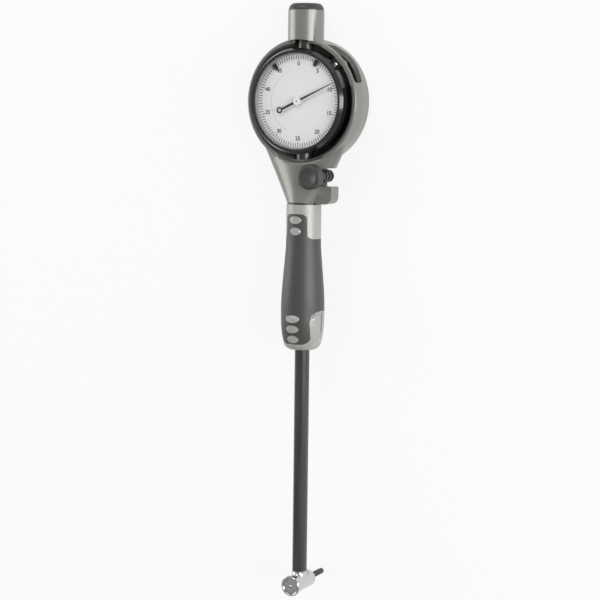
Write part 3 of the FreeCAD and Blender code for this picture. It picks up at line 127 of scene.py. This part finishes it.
class LooksSettings(bpy.types.PropertyGroup):
    """Colours and small sizes of the finished surfaces."""
    paint: FloatVectorProperty(name="Housing paint", description="Satin grey paint of the casting",
                               subtype="COLOR", default=(0.235, 0.228, 0.21))
    moulding: FloatVectorProperty(name="Handle moulding", description="Light grey core of the handle",
                                  subtype="COLOR", default=(0.39, 0.385, 0.365))
    rubber: FloatVectorProperty(name="Grip rubber", description="Dark overmoulding of the handle",
                                subtype="COLOR", default=(0.055, 0.056, 0.054))
    black: FloatVectorProperty(name="Black plastic", description="Plug, neck ring and knob",
                               subtype="COLOR", default=(0.045, 0.045, 0.043))
    knurl_count: IntProperty(name="Knurl count", description="Ridges round the knob", default=44)
    knurl_depth: FloatProperty(name="Knurl depth", description="Depth of the knob's knurling",
                               unit="LENGTH", default=0.22 * MM)
    knob_chamfer: FloatProperty(name="Knob chamfer", description="Chamfer of the knob's edges",
                                unit="LENGTH", default=0.6 * MM)
    knob_dish: FloatProperty(name="Knob dish", description="Depth of the dish in the knob's face",
                             unit="LENGTH", default=0.35 * MM)
    hub_lip: FloatProperty(name="Hub lip", description="Rounding of the hub's edge",
                           unit="LENGTH", default=0.15 * MM)
    hub_dot: FloatProperty(name="Hub dot", description="Radius of the dark dot on the hub",
                           unit="LENGTH", default=0.35 * MM)


class DialSettings(bpy.types.PropertyGroup):
    """Print of the dial."""
    tick_count: IntProperty(name="Graduations", description="Marks round the dial", default=100)
    tick_outer: FloatProperty(name="Outer radius", description="Radius at which the marks end",
                              unit="LENGTH", default=24.9 * MM)
    tick_length: FloatProperty(name="Mark", description="Length of a mark", unit="LENGTH", default=2.1 * MM)
    tick_long: FloatProperty(name="Long mark", description="Length of each tenth mark",
                             unit="LENGTH", default=2.8 * MM)
    tick_width: FloatProperty(name="Mark width", description="Width of a mark", unit="LENGTH",
                              default=0.36 * MM)
    numeral_circle: FloatProperty(name="Numeral circle", description="Radius of the numerals' circle",
                                  unit="LENGTH", default=20.2 * MM)
    numeral_height: FloatProperty(name="Numeral height", description="Height of the numerals",
                                  unit="LENGTH", default=2.3 * MM)
    numeral_step: IntProperty(name="Numeral step", description="Units from one numeral to the next",
                              default=5)
    numeral_whole: IntProperty(name="Whole turn", description="Units in a whole turn", default=50)
    ink: FloatProperty(name="Ink", description="Height of the numerals' ink over the dial",
                       unit="LENGTH", default=0.01 * MM)
    arc_radius: FloatProperty(name="Arc radius", description="Radius of the thin arc on the dial",
                              unit="LENGTH", default=17.0 * MM)
    arc_width: FloatProperty(name="Arc width", description="Width of the thin arc", unit="LENGTH",
                             default=0.12 * MM)
    arc_start: FloatProperty(name="Arc start", description="Where the arc starts, clockwise from the top",
                             subtype="ANGLE", unit="ROTATION", default=math.radians(205))
    arc_end: FloatProperty(name="Arc end", description="Where the arc ends, clockwise from the top",
                           subtype="ANGLE", unit="ROTATION", default=math.radians(345))


class StageSettings(bpy.types.PropertyGroup):
    """Camera and light."""
    camera_turn: FloatProperty(name="Camera turn", description="Camera's turn to the right of the dial",
                               subtype="ANGLE", unit="ROTATION", default=math.radians(29.5))
    camera_away: FloatProperty(name="Camera distance", description="Distance of the camera from the dial",
                               unit="LENGTH", default=0.885)
    camera_width: FloatProperty(name="View width", description="Width that the camera sees at the dial",
                                unit="LENGTH", default=0.331)
    camera_roll: FloatProperty(name="Camera roll", description="Lean of the gauge in the picture",
                               subtype="ANGLE", unit="ROTATION", default=math.radians(0.7))
    aim_right: FloatProperty(name="Aim right", description="Aim, right of the gauge's middle",
                             unit="LENGTH", default=-1.8 * MM)
    aim_above: FloatProperty(name="Aim above", description="Aim, above the gauge's middle",
                             unit="LENGTH", default=1.9 * MM)
    lamp: FloatProperty(name="Lamps", description="Brightness of all lamps", default=1.0)
    ambient: FloatProperty(name="Ambient", description="Brightness of the light from all round", default=0.4)


# ---------------------------------------------------------------- mesh helpers

def new_object(name, mesh, slot, body):
    """Object for a finished mesh, on its body and with its record slot."""
    piece = bpy.data.objects.new(name, mesh)
    bpy.context.scene.collection.objects.link(piece)
    mesh.materials.clear()
    mesh.materials.append(finish_for(slot))
    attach(piece, body)
    return piece


def merged(mesh, outwards=False):
    """Joins the doubled corners of a mesh, and turns its faces outwards where that is asked."""
    shell = bmesh.new()
    shell.from_mesh(mesh)
    bmesh.ops.remove_doubles(shell, verts=shell.verts, dist=MERGE)
    if outwards:
        bmesh.ops.recalc_face_normals(shell, faces=shell.faces)
    shell.to_mesh(mesh)
    shell.free()


def grid_faces(index):
    """Quads between each corner of a grid of corner numbers, the next one along, and the two below."""
    below = index[1:]
    return np.stack((index[:-1, :-1], index[:-1, 1:], below[:, 1:], below[:, :-1]), axis=-1).reshape(-1, 4)


def skin(name, points, slot, body):
    """Smooth closed mesh over a grid of points (rows, columns, 3).

    Both ways round are joined, rows that fall on one point become a pole, and faces look outwards.
    """
    rows, columns = points.shape[:2]
    index = np.arange(rows * columns).reshape(rows, columns)
    joined = np.pad(index, ((0, 1), (0, 1)), mode="wrap")
    mesh = bpy.data.meshes.new(name)
    mesh.from_pydata(points.reshape(-1, 3).tolist(), [], grid_faces(joined).tolist())
    merged(mesh, outwards=True)
    mesh.shade_smooth()
    return new_object(name, mesh, slot, body)


def bar(name, points, slot, body):
    """Closed bar over a grid (sides, along, 3): joined round its sides, with its ends drawn to a point."""
    tips = np.repeat(points.mean(axis=0, keepdims=True), len(points), axis=0)
    points = np.concatenate((tips[:, :1], points, tips[:, -1:]), axis=1)
    sides, count = points.shape[:2]
    index = np.arange(sides * count).reshape(sides, count)
    joined = np.pad(index, ((0, 1), (0, 0)), mode="wrap")
    mesh = bpy.data.meshes.new(name)
    mesh.from_pydata(points.reshape(-1, 3).tolist(), [], grid_faces(joined).tolist())
    merged(mesh, outwards=True)
    return new_object(name, mesh, slot, body)


def turned_points(profile, turn, centre, axis, side):
    """Grid of a body of revolution.

    Row by row, a point is centre + place * axis + radius * (cos(turn) * side + sin(turn) * third).
    `profile` holds radius and place, and the radius may have a column for each angle.
    """
    radius, place = profile
    if radius.ndim == 1:
        radius = radius[:, None]
    third = np.cross(axis, side)
    ring = np.cos(turn)[:, None] * side + np.sin(turn)[:, None] * third
    return centre + place[:, None, None] * axis + radius[..., None] * ring


# ---------------------------------------------------------------- finishes

def shader_node(tree, kind, **settings):
    """Node of a kind, with settings of its own or of its input sockets."""
    made = tree.nodes.new(kind)
    for name, value in settings.items():
        if hasattr(made, name):
            setattr(made, name, value)
        else:
            made.inputs[name.replace("_", " ")].default_value = value
    return made


def empty_material(name):
    """Material with an empty tree, and that tree."""
    material = bpy.data.materials.new(name)
    material.use_nodes = True
    material.node_tree.nodes.clear()
    return material, material.node_tree


def surface(name, colour, roughness, metallic=0.0, mottle=0.06, mottle_scale=60.0, grain=0.0,
            grain_scale=3000.0, uneven=0.06, stretch=(1, 1, 1), coat=0.0, specular=0.5):
    """Finish with slight mottling of its colour, uneven gloss and a fine grain.

    Colour * (1 -+ mottle) and roughness -+ uneven follow one noise, and the grain is a bump as deep as
    `grain` millimetres. The pattern's axes are turned along the stem, and stretched.
    """
    material, tree = empty_material(name)
    link = tree.links.new
    out = shader_node(tree, "ShaderNodeOutputMaterial")
    shader = shader_node(tree, "ShaderNodeBsdfPrincipled", Metallic=metallic, Coat_Weight=coat,
                         Specular_IOR_Level=specular)
    place = shader_node(tree, "ShaderNodeTexCoord")
    along = shader_node(tree, "ShaderNodeMapping", Rotation=(-LEAN, 0, 0), Scale=stretch)
    clouds = shader_node(tree, "ShaderNodeTexNoise", Scale=mottle_scale, Detail=4.0)
    shades = [tuple(channel * (1 + sign * mottle) for channel in colour) + (1.0,) for sign in (-1, 1)]
    tint = shader_node(tree, "ShaderNodeMix", data_type="RGBA")
    dark, light = (socket for socket in tint.inputs if socket.type == "RGBA")
    dark.default_value, light.default_value = shades
    tinted = next(socket for socket in tint.outputs if socket.type == "RGBA")
    gloss = shader_node(tree, "ShaderNodeMapRange", To_Min=roughness - uneven, To_Max=roughness + uneven)
    link(place.outputs["Object"], along.inputs["Vector"])
    link(along.outputs["Vector"], clouds.inputs["Vector"])
    link(clouds.outputs["Fac"], tint.inputs["Factor"])
    link(tinted, shader.inputs["Base Color"])
    link(clouds.outputs["Fac"], gloss.inputs["Value"])
    link(gloss.outputs["Result"], shader.inputs["Roughness"])
    link(shader.outputs["BSDF"], out.inputs["Surface"])
    if grain:
        speckle = shader_node(tree, "ShaderNodeTexNoise", Scale=grain_scale, Detail=2.0)
        bump = shader_node(tree, "ShaderNodeBump", Strength=1.0, Distance=grain * MM)
        link(along.outputs["Vector"], speckle.inputs["Vector"])
        link(speckle.outputs["Fac"], bump.inputs["Height"])
        link(bump.outputs["Normal"], shader.inputs["Normal"])
    return material


def clear_glass(name):
    """Clear crystal: see-through, with a reflection that grows towards its edges."""
    material, tree = empty_material(name)
    out = shader_node(tree, "ShaderNodeOutputMaterial")
    through = shader_node(tree, "ShaderNodeBsdfTransparent")
    glint = shader_node(tree, "ShaderNodeBsdfGlossy", Roughness=0.03)
    edge = shader_node(tree, "ShaderNodeLayerWeight", Blend=0.25)
    share = shader_node(tree, "ShaderNodeMapRange", To_Min=0.012, To_Max=0.12)
    mixed = shader_node(tree, "ShaderNodeMixShader")
    tree.links.new(edge.outputs["Facing"], share.inputs["Value"])
    tree.links.new(share.outputs["Result"], mixed.inputs["Fac"])
    tree.links.new(through.outputs["BSDF"], mixed.inputs[1])
    tree.links.new(glint.outputs["BSDF"], mixed.inputs[2])
    tree.links.new(mixed.outputs["Shader"], out.inputs["Surface"])
    return material


STEEL = dict(metallic=1.0, mottle=0.04, uneven=0.05)
# Finish of each slot: colour, or the name of its setting, roughness and the rest of the finish.
FINISHES = {
    "housing_paint": ("paint", 0.33, dict(metallic=0.35, mottle=0.05, grain=0.012, grain_scale=2500.0,
                                          coat=0.25)),
    "black_plastic": ("black", 0.38, dict(mottle=0.15, grain=0.01)),
    "dark_steel": ((0.07, 0.07, 0.068), 0.3, dict(metallic=0.7, mottle=0.2, grain=0.006,
                                                  stretch=(1, 0.2, 1))),
    "handle_grey": ("moulding", 0.36, dict(metallic=0.15, grain=0.012, grain_scale=2000.0)),
    "grip_rubber": ("rubber", 0.44, dict(mottle=0.12, grain=0.03, grain_scale=2600.0, specular=0.55)),
    "tube_composite": ((0.035, 0.035, 0.035), 0.26, dict(mottle=0.75, mottle_scale=420.0, grain=0.02,
                                                         grain_scale=1400.0, stretch=(1, 0.012, 1),
                                                         coat=0.3)),
    "head_chrome": ((0.6, 0.6, 0.6), 0.17, dict(grain=0.004, **STEEL)),
    "inner_steel": ((0.55, 0.55, 0.54), 0.3, dict(grain=0.004, **STEEL)),
    "spring_steel": ((0.42, 0.42, 0.42), 0.28, STEEL),
    "case_metal": ((0.012, 0.012, 0.012), 0.4, dict(mottle=0.2, grain=0.01)),
    "bezel_black": ((0.012, 0.012, 0.013), 0.2, dict(mottle=0.2, coat=0.4)),
    "ring_grey": ((0.3, 0.3, 0.29), 0.45, dict(grain=0.005)),
    "dial_white": ((0.86, 0.86, 0.85), 0.55, dict(mottle=0.01, grain=0.003)),
    "hand_black": ((0.008, 0.008, 0.008), 0.5, dict(mottle=0.2, grain=0.003)),
    "movement_brass": ((0.62, 0.44, 0.17), 0.3, dict(grain=0.004, **STEEL)),
}


def finish_for(slot):
    """Finish of a record slot, made once."""
    name = "finish_" + slot
    if name in bpy.data.materials:
        return bpy.data.materials[name]
    if slot == "crystal_clear":
        return clear_glass(name)
    colour, roughness, rest = FINISHES[slot]
    if isinstance(colour, str):
        colour = getattr(bpy.context.scene.gauge_looks, colour)
    return surface(name, colour, roughness, **rest)


# ---------------------------------------------------------------- pieces

class GAUGE_OT_nodes(bpy.types.Operator):
    """Gives each CAD node the finish of its slot, and the steel in the shaded gap round the bezel a dark finish as
    painted shade
    """
    bl_idname = "gauge.finish_nodes"
    bl_label = "Finish the CAD nodes"

    def execute(self, context):
        for name, thing in frame["nodes"].items():
            thing.data.materials.clear()
            # Steel in the shaded gap round the bezel takes the dark steel finish as painted shade.
            thing.data.materials.append(finish_for("dark_steel" if name in SHADE_PAINTED_STEEL else SLOT_OF[name]))
        return {"FINISHED"}


class GAUGE_OT_shells(bpy.types.Operator):
    """Smooths the cast, moulded and turned pieces that show, and keeps their sharp edges"""
    bl_idname = "gauge.soften_shells"
    bl_label = "Smooth the outer pieces"

    def execute(self, context):
        for node in SMOOTHED:
            mesh = frame["nodes"][node].data.copy()
            merged(mesh)
            mesh.shade_smooth()
            mesh.set_sharp_from_angle(angle=SHARP)
            piece = new_object(node + "_dressed", mesh, SLOT_OF[node], BODY_OF[node])
            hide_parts(node)
        return {"FINISHED"}


class GAUGE_OT_knob(bpy.types.Operator):
    """Knurled clamp knob"""
    bl_idname = "gauge.make_knob"
    bl_label = "Make the clamp knob"

    def execute(self, context):
        looks = context.scene.gauge_looks
        axis = -np.array(JOINTS["clamp_turn"]["axis"])
        centre = np.array(JOINTS["clamp_turn"]["pos_m"])
        corners = corners_of("clamp_knob") - centre
        places = corners @ axis
        radius = np.linalg.norm(corners - places[:, None] * axis, axis=1).max()
        front, back = places.min(), places.max()
        chamfer, dish = looks.knob_chamfer, looks.knob_dish
        steps, rows = 8, 25                 # columns of a ridge, and rows of the knurled band
        turn = np.linspace(0, ROUND, looks.knurl_count * steps, endpoint=False)
        # Two sets of slanted ridges cross on the band between the chamfers. One set is
        # |cos(count / 2 * turn -+ slant)|, and the higher of the two sets how far out a point lies.
        band = np.linspace(front + chamfer, back - chamfer, rows)
        slant = (band - band[0]) / (band[-1] - band[0]) * ROUND
        waves = turn[None, :] * looks.knurl_count / 2
        ridges = np.maximum(np.abs(np.cos(waves - slant[:, None])), np.abs(np.cos(waves + slant[:, None])))
        knurled = radius - looks.knurl_depth * (1 - ridges)
        land, corner = radius - 1.6 * chamfer, radius - chamfer / 2
        # Radius and place of the rows ahead of the band, with a shallow dish, and of those past it.
        face = np.array(((0, front + dish), (0.55 * radius, front + dish), (0.62 * radius, front),
                         (land, front), (corner, front + chamfer / 2)))
        end = np.array(((corner, back - chamfer / 2), (land, back), (0, back)))
        plain = np.ones(len(turn))
        radii = np.vstack((np.outer(face[:, 0], plain), knurled, np.outer(end[:, 0], plain)))
        along = np.concatenate((face[:, 1], band, end[:, 1]))
        points = turned_points((radii, along), turn, centre, axis, RIGHT)
        knob = skin("knurled_knob", points, "black_plastic", "clamp")
        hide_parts("clamp_knob")
        return {"FINISHED"}


class GAUGE_OT_hub(bpy.types.Operator):
    """White hub of the pointer, with its dark centre"""
    bl_idname = "gauge.make_hub"
    bl_label = "Make the pointer hub"

    def execute(self, context):
        looks = context.scene.gauge_looks
        right, behind, above = from_dial(corners_of("pointer_hub"))
        reach = np.hypot(right, above).max()
        front, back = behind.min(), behind.max()
        lip, dot = looks.hub_lip, looks.hub_dot
        proud, sunk = 0.02 * MM, 0.05 * MM  # of the dot, ahead of the hub's face and behind it
        turn = np.linspace(0, ROUND, 64, endpoint=False)
        # The edge is a quarter round: radius reach - lip * (1 - sin t), place front + lip * (1 - cos t).
        bend = np.linspace(0, math.pi / 2, 5)
        radius = np.concatenate(((0,), reach - lip * (1 - np.sin(bend)), (reach, 0)))
        place = np.concatenate(((front,), front + lip * (1 - np.cos(bend)), (back, back)))
        cap = turned_points((radius, place), turn, DIAL, BEHIND, RIGHT)
        hub = skin("hub_cap", cap, "dial_white", "pointer_arbor")
        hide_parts("pointer_hub")
        radius = np.array((0, dot, dot, 0))
        place = front + np.array((-proud, -proud, sunk, sunk))
        centre_dot = turned_points((radius, place), turn[::4], DIAL, BEHIND, RIGHT)
        skin("hub_dot", centre_dot, "hand_black", "pointer_arbor")
        return {"FINISHED"}


# ---------------------------------------------------------------- dial print

def print_ticks(settings, front):
    """Thin bars round the dial, one box for each graduation.

    A box's corners lie at radius outer or outer - length, half a width to either side of its angle, and
    a quarter of the ink below the dial's face or three quarters above it.
    """
    count = settings.tick_count
    thick = 3 * settings.ink
    number = np.arange(count)[:, None]
    angle = number * ROUND / count
    length = np.where(number % 10 == 0, settings.tick_long, settings.tick_length)
    side = np.array((-1, 1, 1, -1, -1, 1, 1, -1)) * settings.tick_width / 2
    inner = np.array((0, 0, 1, 1, 0, 0, 1, 1))
    lift = np.array((0, 0, 0, 0, 1, 1, 1, 1)) * thick
    radius = settings.tick_outer - inner * length
    right = radius * np.sin(angle) + side * np.cos(angle)
    above = radius * np.cos(angle) - side * np.sin(angle)
    points = laid(right, front + thick / 4 - lift, above)
    box = np.array(((0, 3, 2, 1), (4, 5, 6, 7), (0, 1, 5, 4), (1, 2, 6, 5), (2, 3, 7, 6), (3, 0, 4, 7)))
    faces = (box + len(side) * number[..., None]).reshape(-1, 4)
    mesh = bpy.data.meshes.new("graduations")
    mesh.from_pydata(points.reshape(-1, 3).tolist(), [], faces.tolist())
    new_object("graduations", mesh, "hand_black", "bezel_body")


def print_numeral(text, height, right, above, front):
    """Upright numeral as a thin solid, centred on a place of the dial."""
    letter_size = 1.35                      # of the font, per height of a digit
    curve = bpy.data.curves.new("numeral_" + text, "FONT")
    curve.body = text
    curve.size = height * letter_size
    curve.align_x = "CENTER"
    curve.align_y = "CENTER"
    curve.extrude = 0.015 * MM
    curve.offset = 0.07 * MM
    curve.resolution_u = 3
    holder = bpy.data.objects.new(curve.name, curve)
    bpy.context.scene.collection.objects.link(holder)
    bpy.context.view_layer.update()
    mesh = bpy.data.meshes.new_from_object(holder.evaluated_get(bpy.context.evaluated_depsgraph_get()))
    bpy.data.objects.remove(holder)
    where = Matrix(np.column_stack((RIGHT, ABOVE, -BEHIND)).tolist()).to_4x4()
    where.translation = Vector(laid(right, front, above))
    mesh.transform(where)
    new_object(f"numeral_{text}_hand_black", mesh, "hand_black", "bezel_body")


def print_arc(settings, front):
    """Thin arc on the left of the dial: a bar whose four edges run at arc_radius -+ half its width."""
    turn = np.linspace(settings.arc_start, settings.arc_end, 90)
    half = settings.arc_width / 2
    raised = front - 2 * settings.ink
    edges = ((-half, front), (half, front), (half, raised), (-half, raised))
    circles = [(settings.arc_radius + out, behind) for out, behind in edges]
    points = [laid(radius * np.sin(turn), behind, radius * np.cos(turn)) for radius, behind in circles]
    bar("thin_arc", np.stack(points), "ring_grey", "bezel_body")


class GAUGE_OT_dial(bpy.types.Operator):
    """Graduations, numerals and the thin arc of the dial"""
    bl_idname = "gauge.print_dial"
    bl_label = "Print the dial"

    def execute(self, context):
        settings = context.scene.gauge_dial
        front = from_dial(corners_of("dial_face"))[1].min()
        print_ticks(settings, front)
        far = settings.numeral_circle
        for number in range(0, settings.numeral_whole, settings.numeral_step):
            turn = ROUND * number / settings.numeral_whole
            print_numeral(str(number), settings.numeral_height, far * math.sin(turn), far * math.cos(turn),
                          front - settings.ink)
        print_arc(settings, front)
        return {"FINISHED"}


# ---------------------------------------------------------------- stage

def area_lamp(name, towards, spot, width, height, power):
    """Rectangular lamp at a spot, turned towards a point."""
    light = bpy.data.lights.new(name, "AREA")
    light.shape = "RECTANGLE"
    light.size = width
    light.size_y = height
    light.energy = power
    lamp = bpy.data.objects.new(name, light)
    bpy.context.scene.collection.objects.link(lamp)
    lamp.location = spot
    lamp.rotation_mode = "QUATERNION"
    lamp.rotation_quaternion = (Vector(towards) - Vector(spot)).to_track_quat("-Z", "Y")


def pale_floor(half):
    """Pale floor that shows white to the camera and in reflections, and keeps the object's shadow."""
    mesh = bpy.data.meshes.new("floor")
    corners = [(-half, -half, 0), (half, -half, 0), (half, half, 0), (-half, half, 0)]
    mesh.from_pydata(corners, [], [(0, 1, 2, 3)])
    floor = bpy.data.objects.new("floor", mesh)
    bpy.context.scene.collection.objects.link(floor)
    material, tree = empty_material("pale_floor")
    paths = shader_node(tree, "ShaderNodeLightPath")
    matt = shader_node(tree, "ShaderNodeBsdfDiffuse", Color=(0.86, 0.86, 0.86, 1))
    bright = shader_node(tree, "ShaderNodeEmission", Strength=1.0)
    seen = shader_node(tree, "ShaderNodeMath", operation="MAXIMUM")
    share = shader_node(tree, "ShaderNodeMath", operation="MULTIPLY")
    share.inputs[1].default_value = FLOOR_GLOW
    mixed = shader_node(tree, "ShaderNodeMixShader")
    out = shader_node(tree, "ShaderNodeOutputMaterial")
    tree.links.new(paths.outputs["Is Camera Ray"], seen.inputs[0])
    tree.links.new(paths.outputs["Is Glossy Ray"], seen.inputs[1])
    tree.links.new(seen.outputs[0], share.inputs[0])
    tree.links.new(share.outputs[0], mixed.inputs["Fac"])
    tree.links.new(matt.outputs["BSDF"], mixed.inputs[1])
    tree.links.new(bright.outputs["Emission"], mixed.inputs[2])
    tree.links.new(mixed.outputs["Shader"], out.inputs["Surface"])
    mesh.materials.append(material)


def studio_world(ambient):
    """World that is white to the camera and plain grey as a light."""
    world = bpy.data.worlds.new("studio")
    bpy.context.scene.world = world
    world.use_nodes = True
    tree = world.node_tree
    tree.nodes.clear()
    paths = shader_node(tree, "ShaderNodeLightPath")
    level = shader_node(tree, "ShaderNodeMapRange", To_Min=ambient, To_Max=1.0)
    back = shader_node(tree, "ShaderNodeBackground", Color=(1, 1, 1, 1))
    out = shader_node(tree, "ShaderNodeOutputWorld")
    tree.links.new(paths.outputs["Is Camera Ray"], level.inputs["Value"])
    tree.links.new(level.outputs["Result"], back.inputs["Strength"])
    tree.links.new(back.outputs["Background"], out.inputs["Surface"])


def set_camera(stage):
    """Camera level with the dial, turned to its right, that looks at the middle of the gauge's length."""
    outward = math.sin(stage.camera_turn) * RIGHT - math.cos(stage.camera_turn) * BEHIND
    spot = DIAL + outward * stage.camera_away
    middle = sum(from_dial(corner)[2] for corner in CAD_BOX) / 2
    aim = laid(stage.aim_right, 0.0, middle + stage.aim_above)
    camera = bpy.data.cameras.new("camera")
    camera.sensor_width = SENSOR_MM
    camera.lens = SENSOR_MM * stage.camera_away / stage.camera_width
    view = bpy.data.objects.new("camera", camera)
    bpy.context.scene.collection.objects.link(view)
    view.location = spot
    back = Vector(spot - aim).normalized()
    side = Vector(ABOVE).cross(back).normalized()
    turn = Matrix((side, back.cross(side), back)).transposed()
    view.rotation_mode = "QUATERNION"
    view.rotation_quaternion = (turn @ Matrix.Rotation(stage.camera_roll, 3, "Z")).to_quaternion()
    bpy.context.scene.camera = view


class GAUGE_OT_stage(bpy.types.Operator):
    """Floor, lamps, world and camera"""
    bl_idname = "gauge.set_stage"
    bl_label = "Set the stage"

    def execute(self, context):
        stage = context.scene.gauge_stage
        middle = np.mean(CAD_BOX, axis=0)
        pale_floor(FLOOR_HALF)
        studio_world(stage.ambient)
        for name, away, width, height, power in LAMPS:
            area_lamp(name, middle, middle + np.array(away), width, height, power * stage.lamp)
        set_camera(stage)
        context.scene.view_settings.view_transform = "Standard"
        return {"FINISHED"}


# ---------------------------------------------------------------- add-on

OPERATORS = (GAUGE_OT_nodes, GAUGE_OT_shells, GAUGE_OT_knob, GAUGE_OT_hub, GAUGE_OT_dial, GAUGE_OT_stage)
SETTINGS = {"gauge_looks": LooksSettings, "gauge_dial": DialSettings, "gauge_stage": StageSettings}


class GAUGE_PT_panel(bpy.types.Panel):
    """Sizes, colours and steps of the bore gauge"""
    bl_label = "Bore gauge"
    bl_idname = "GAUGE_PT_panel"
    bl_space_type = "VIEW_3D"
    bl_region_type = "UI"
    bl_category = "Bore gauge"

    def draw(self, context):
        for key, kind in SETTINGS.items():
            box = self.layout.box()
            for name in kind.__annotations__:
                box.prop(getattr(context.scene, key), name)
        for operator in OPERATORS:
            self.layout.operator(operator.bl_idname)


def register():
    """Registers the classes, and puts the settings on the scene."""
    for kind in (*SETTINGS.values(), *OPERATORS, GAUGE_PT_panel):
        bpy.utils.register_class(kind)
    for name, kind in SETTINGS.items():
        setattr(bpy.types.Scene, name, PointerProperty(type=kind))


def unregister():
    """Takes the settings off the scene, and unregisters the classes."""
    for name in SETTINGS:
        delattr(bpy.types.Scene, name)
    for kind in (GAUGE_PT_panel, *reversed(OPERATORS), *reversed(SETTINGS.values())):
        bpy.utils.unregister_class(kind)


def main():
    """Dresses the gauge step by step."""
    register()
    bpy.ops.gauge.finish_nodes()
    bpy.ops.gauge.soften_shells()
    bpy.ops.gauge.make_knob()
    bpy.ops.gauge.make_hub()
    bpy.ops.gauge.print_dial()
    bpy.ops.gauge.set_stage()


if __name__ == "__main__":
    main()
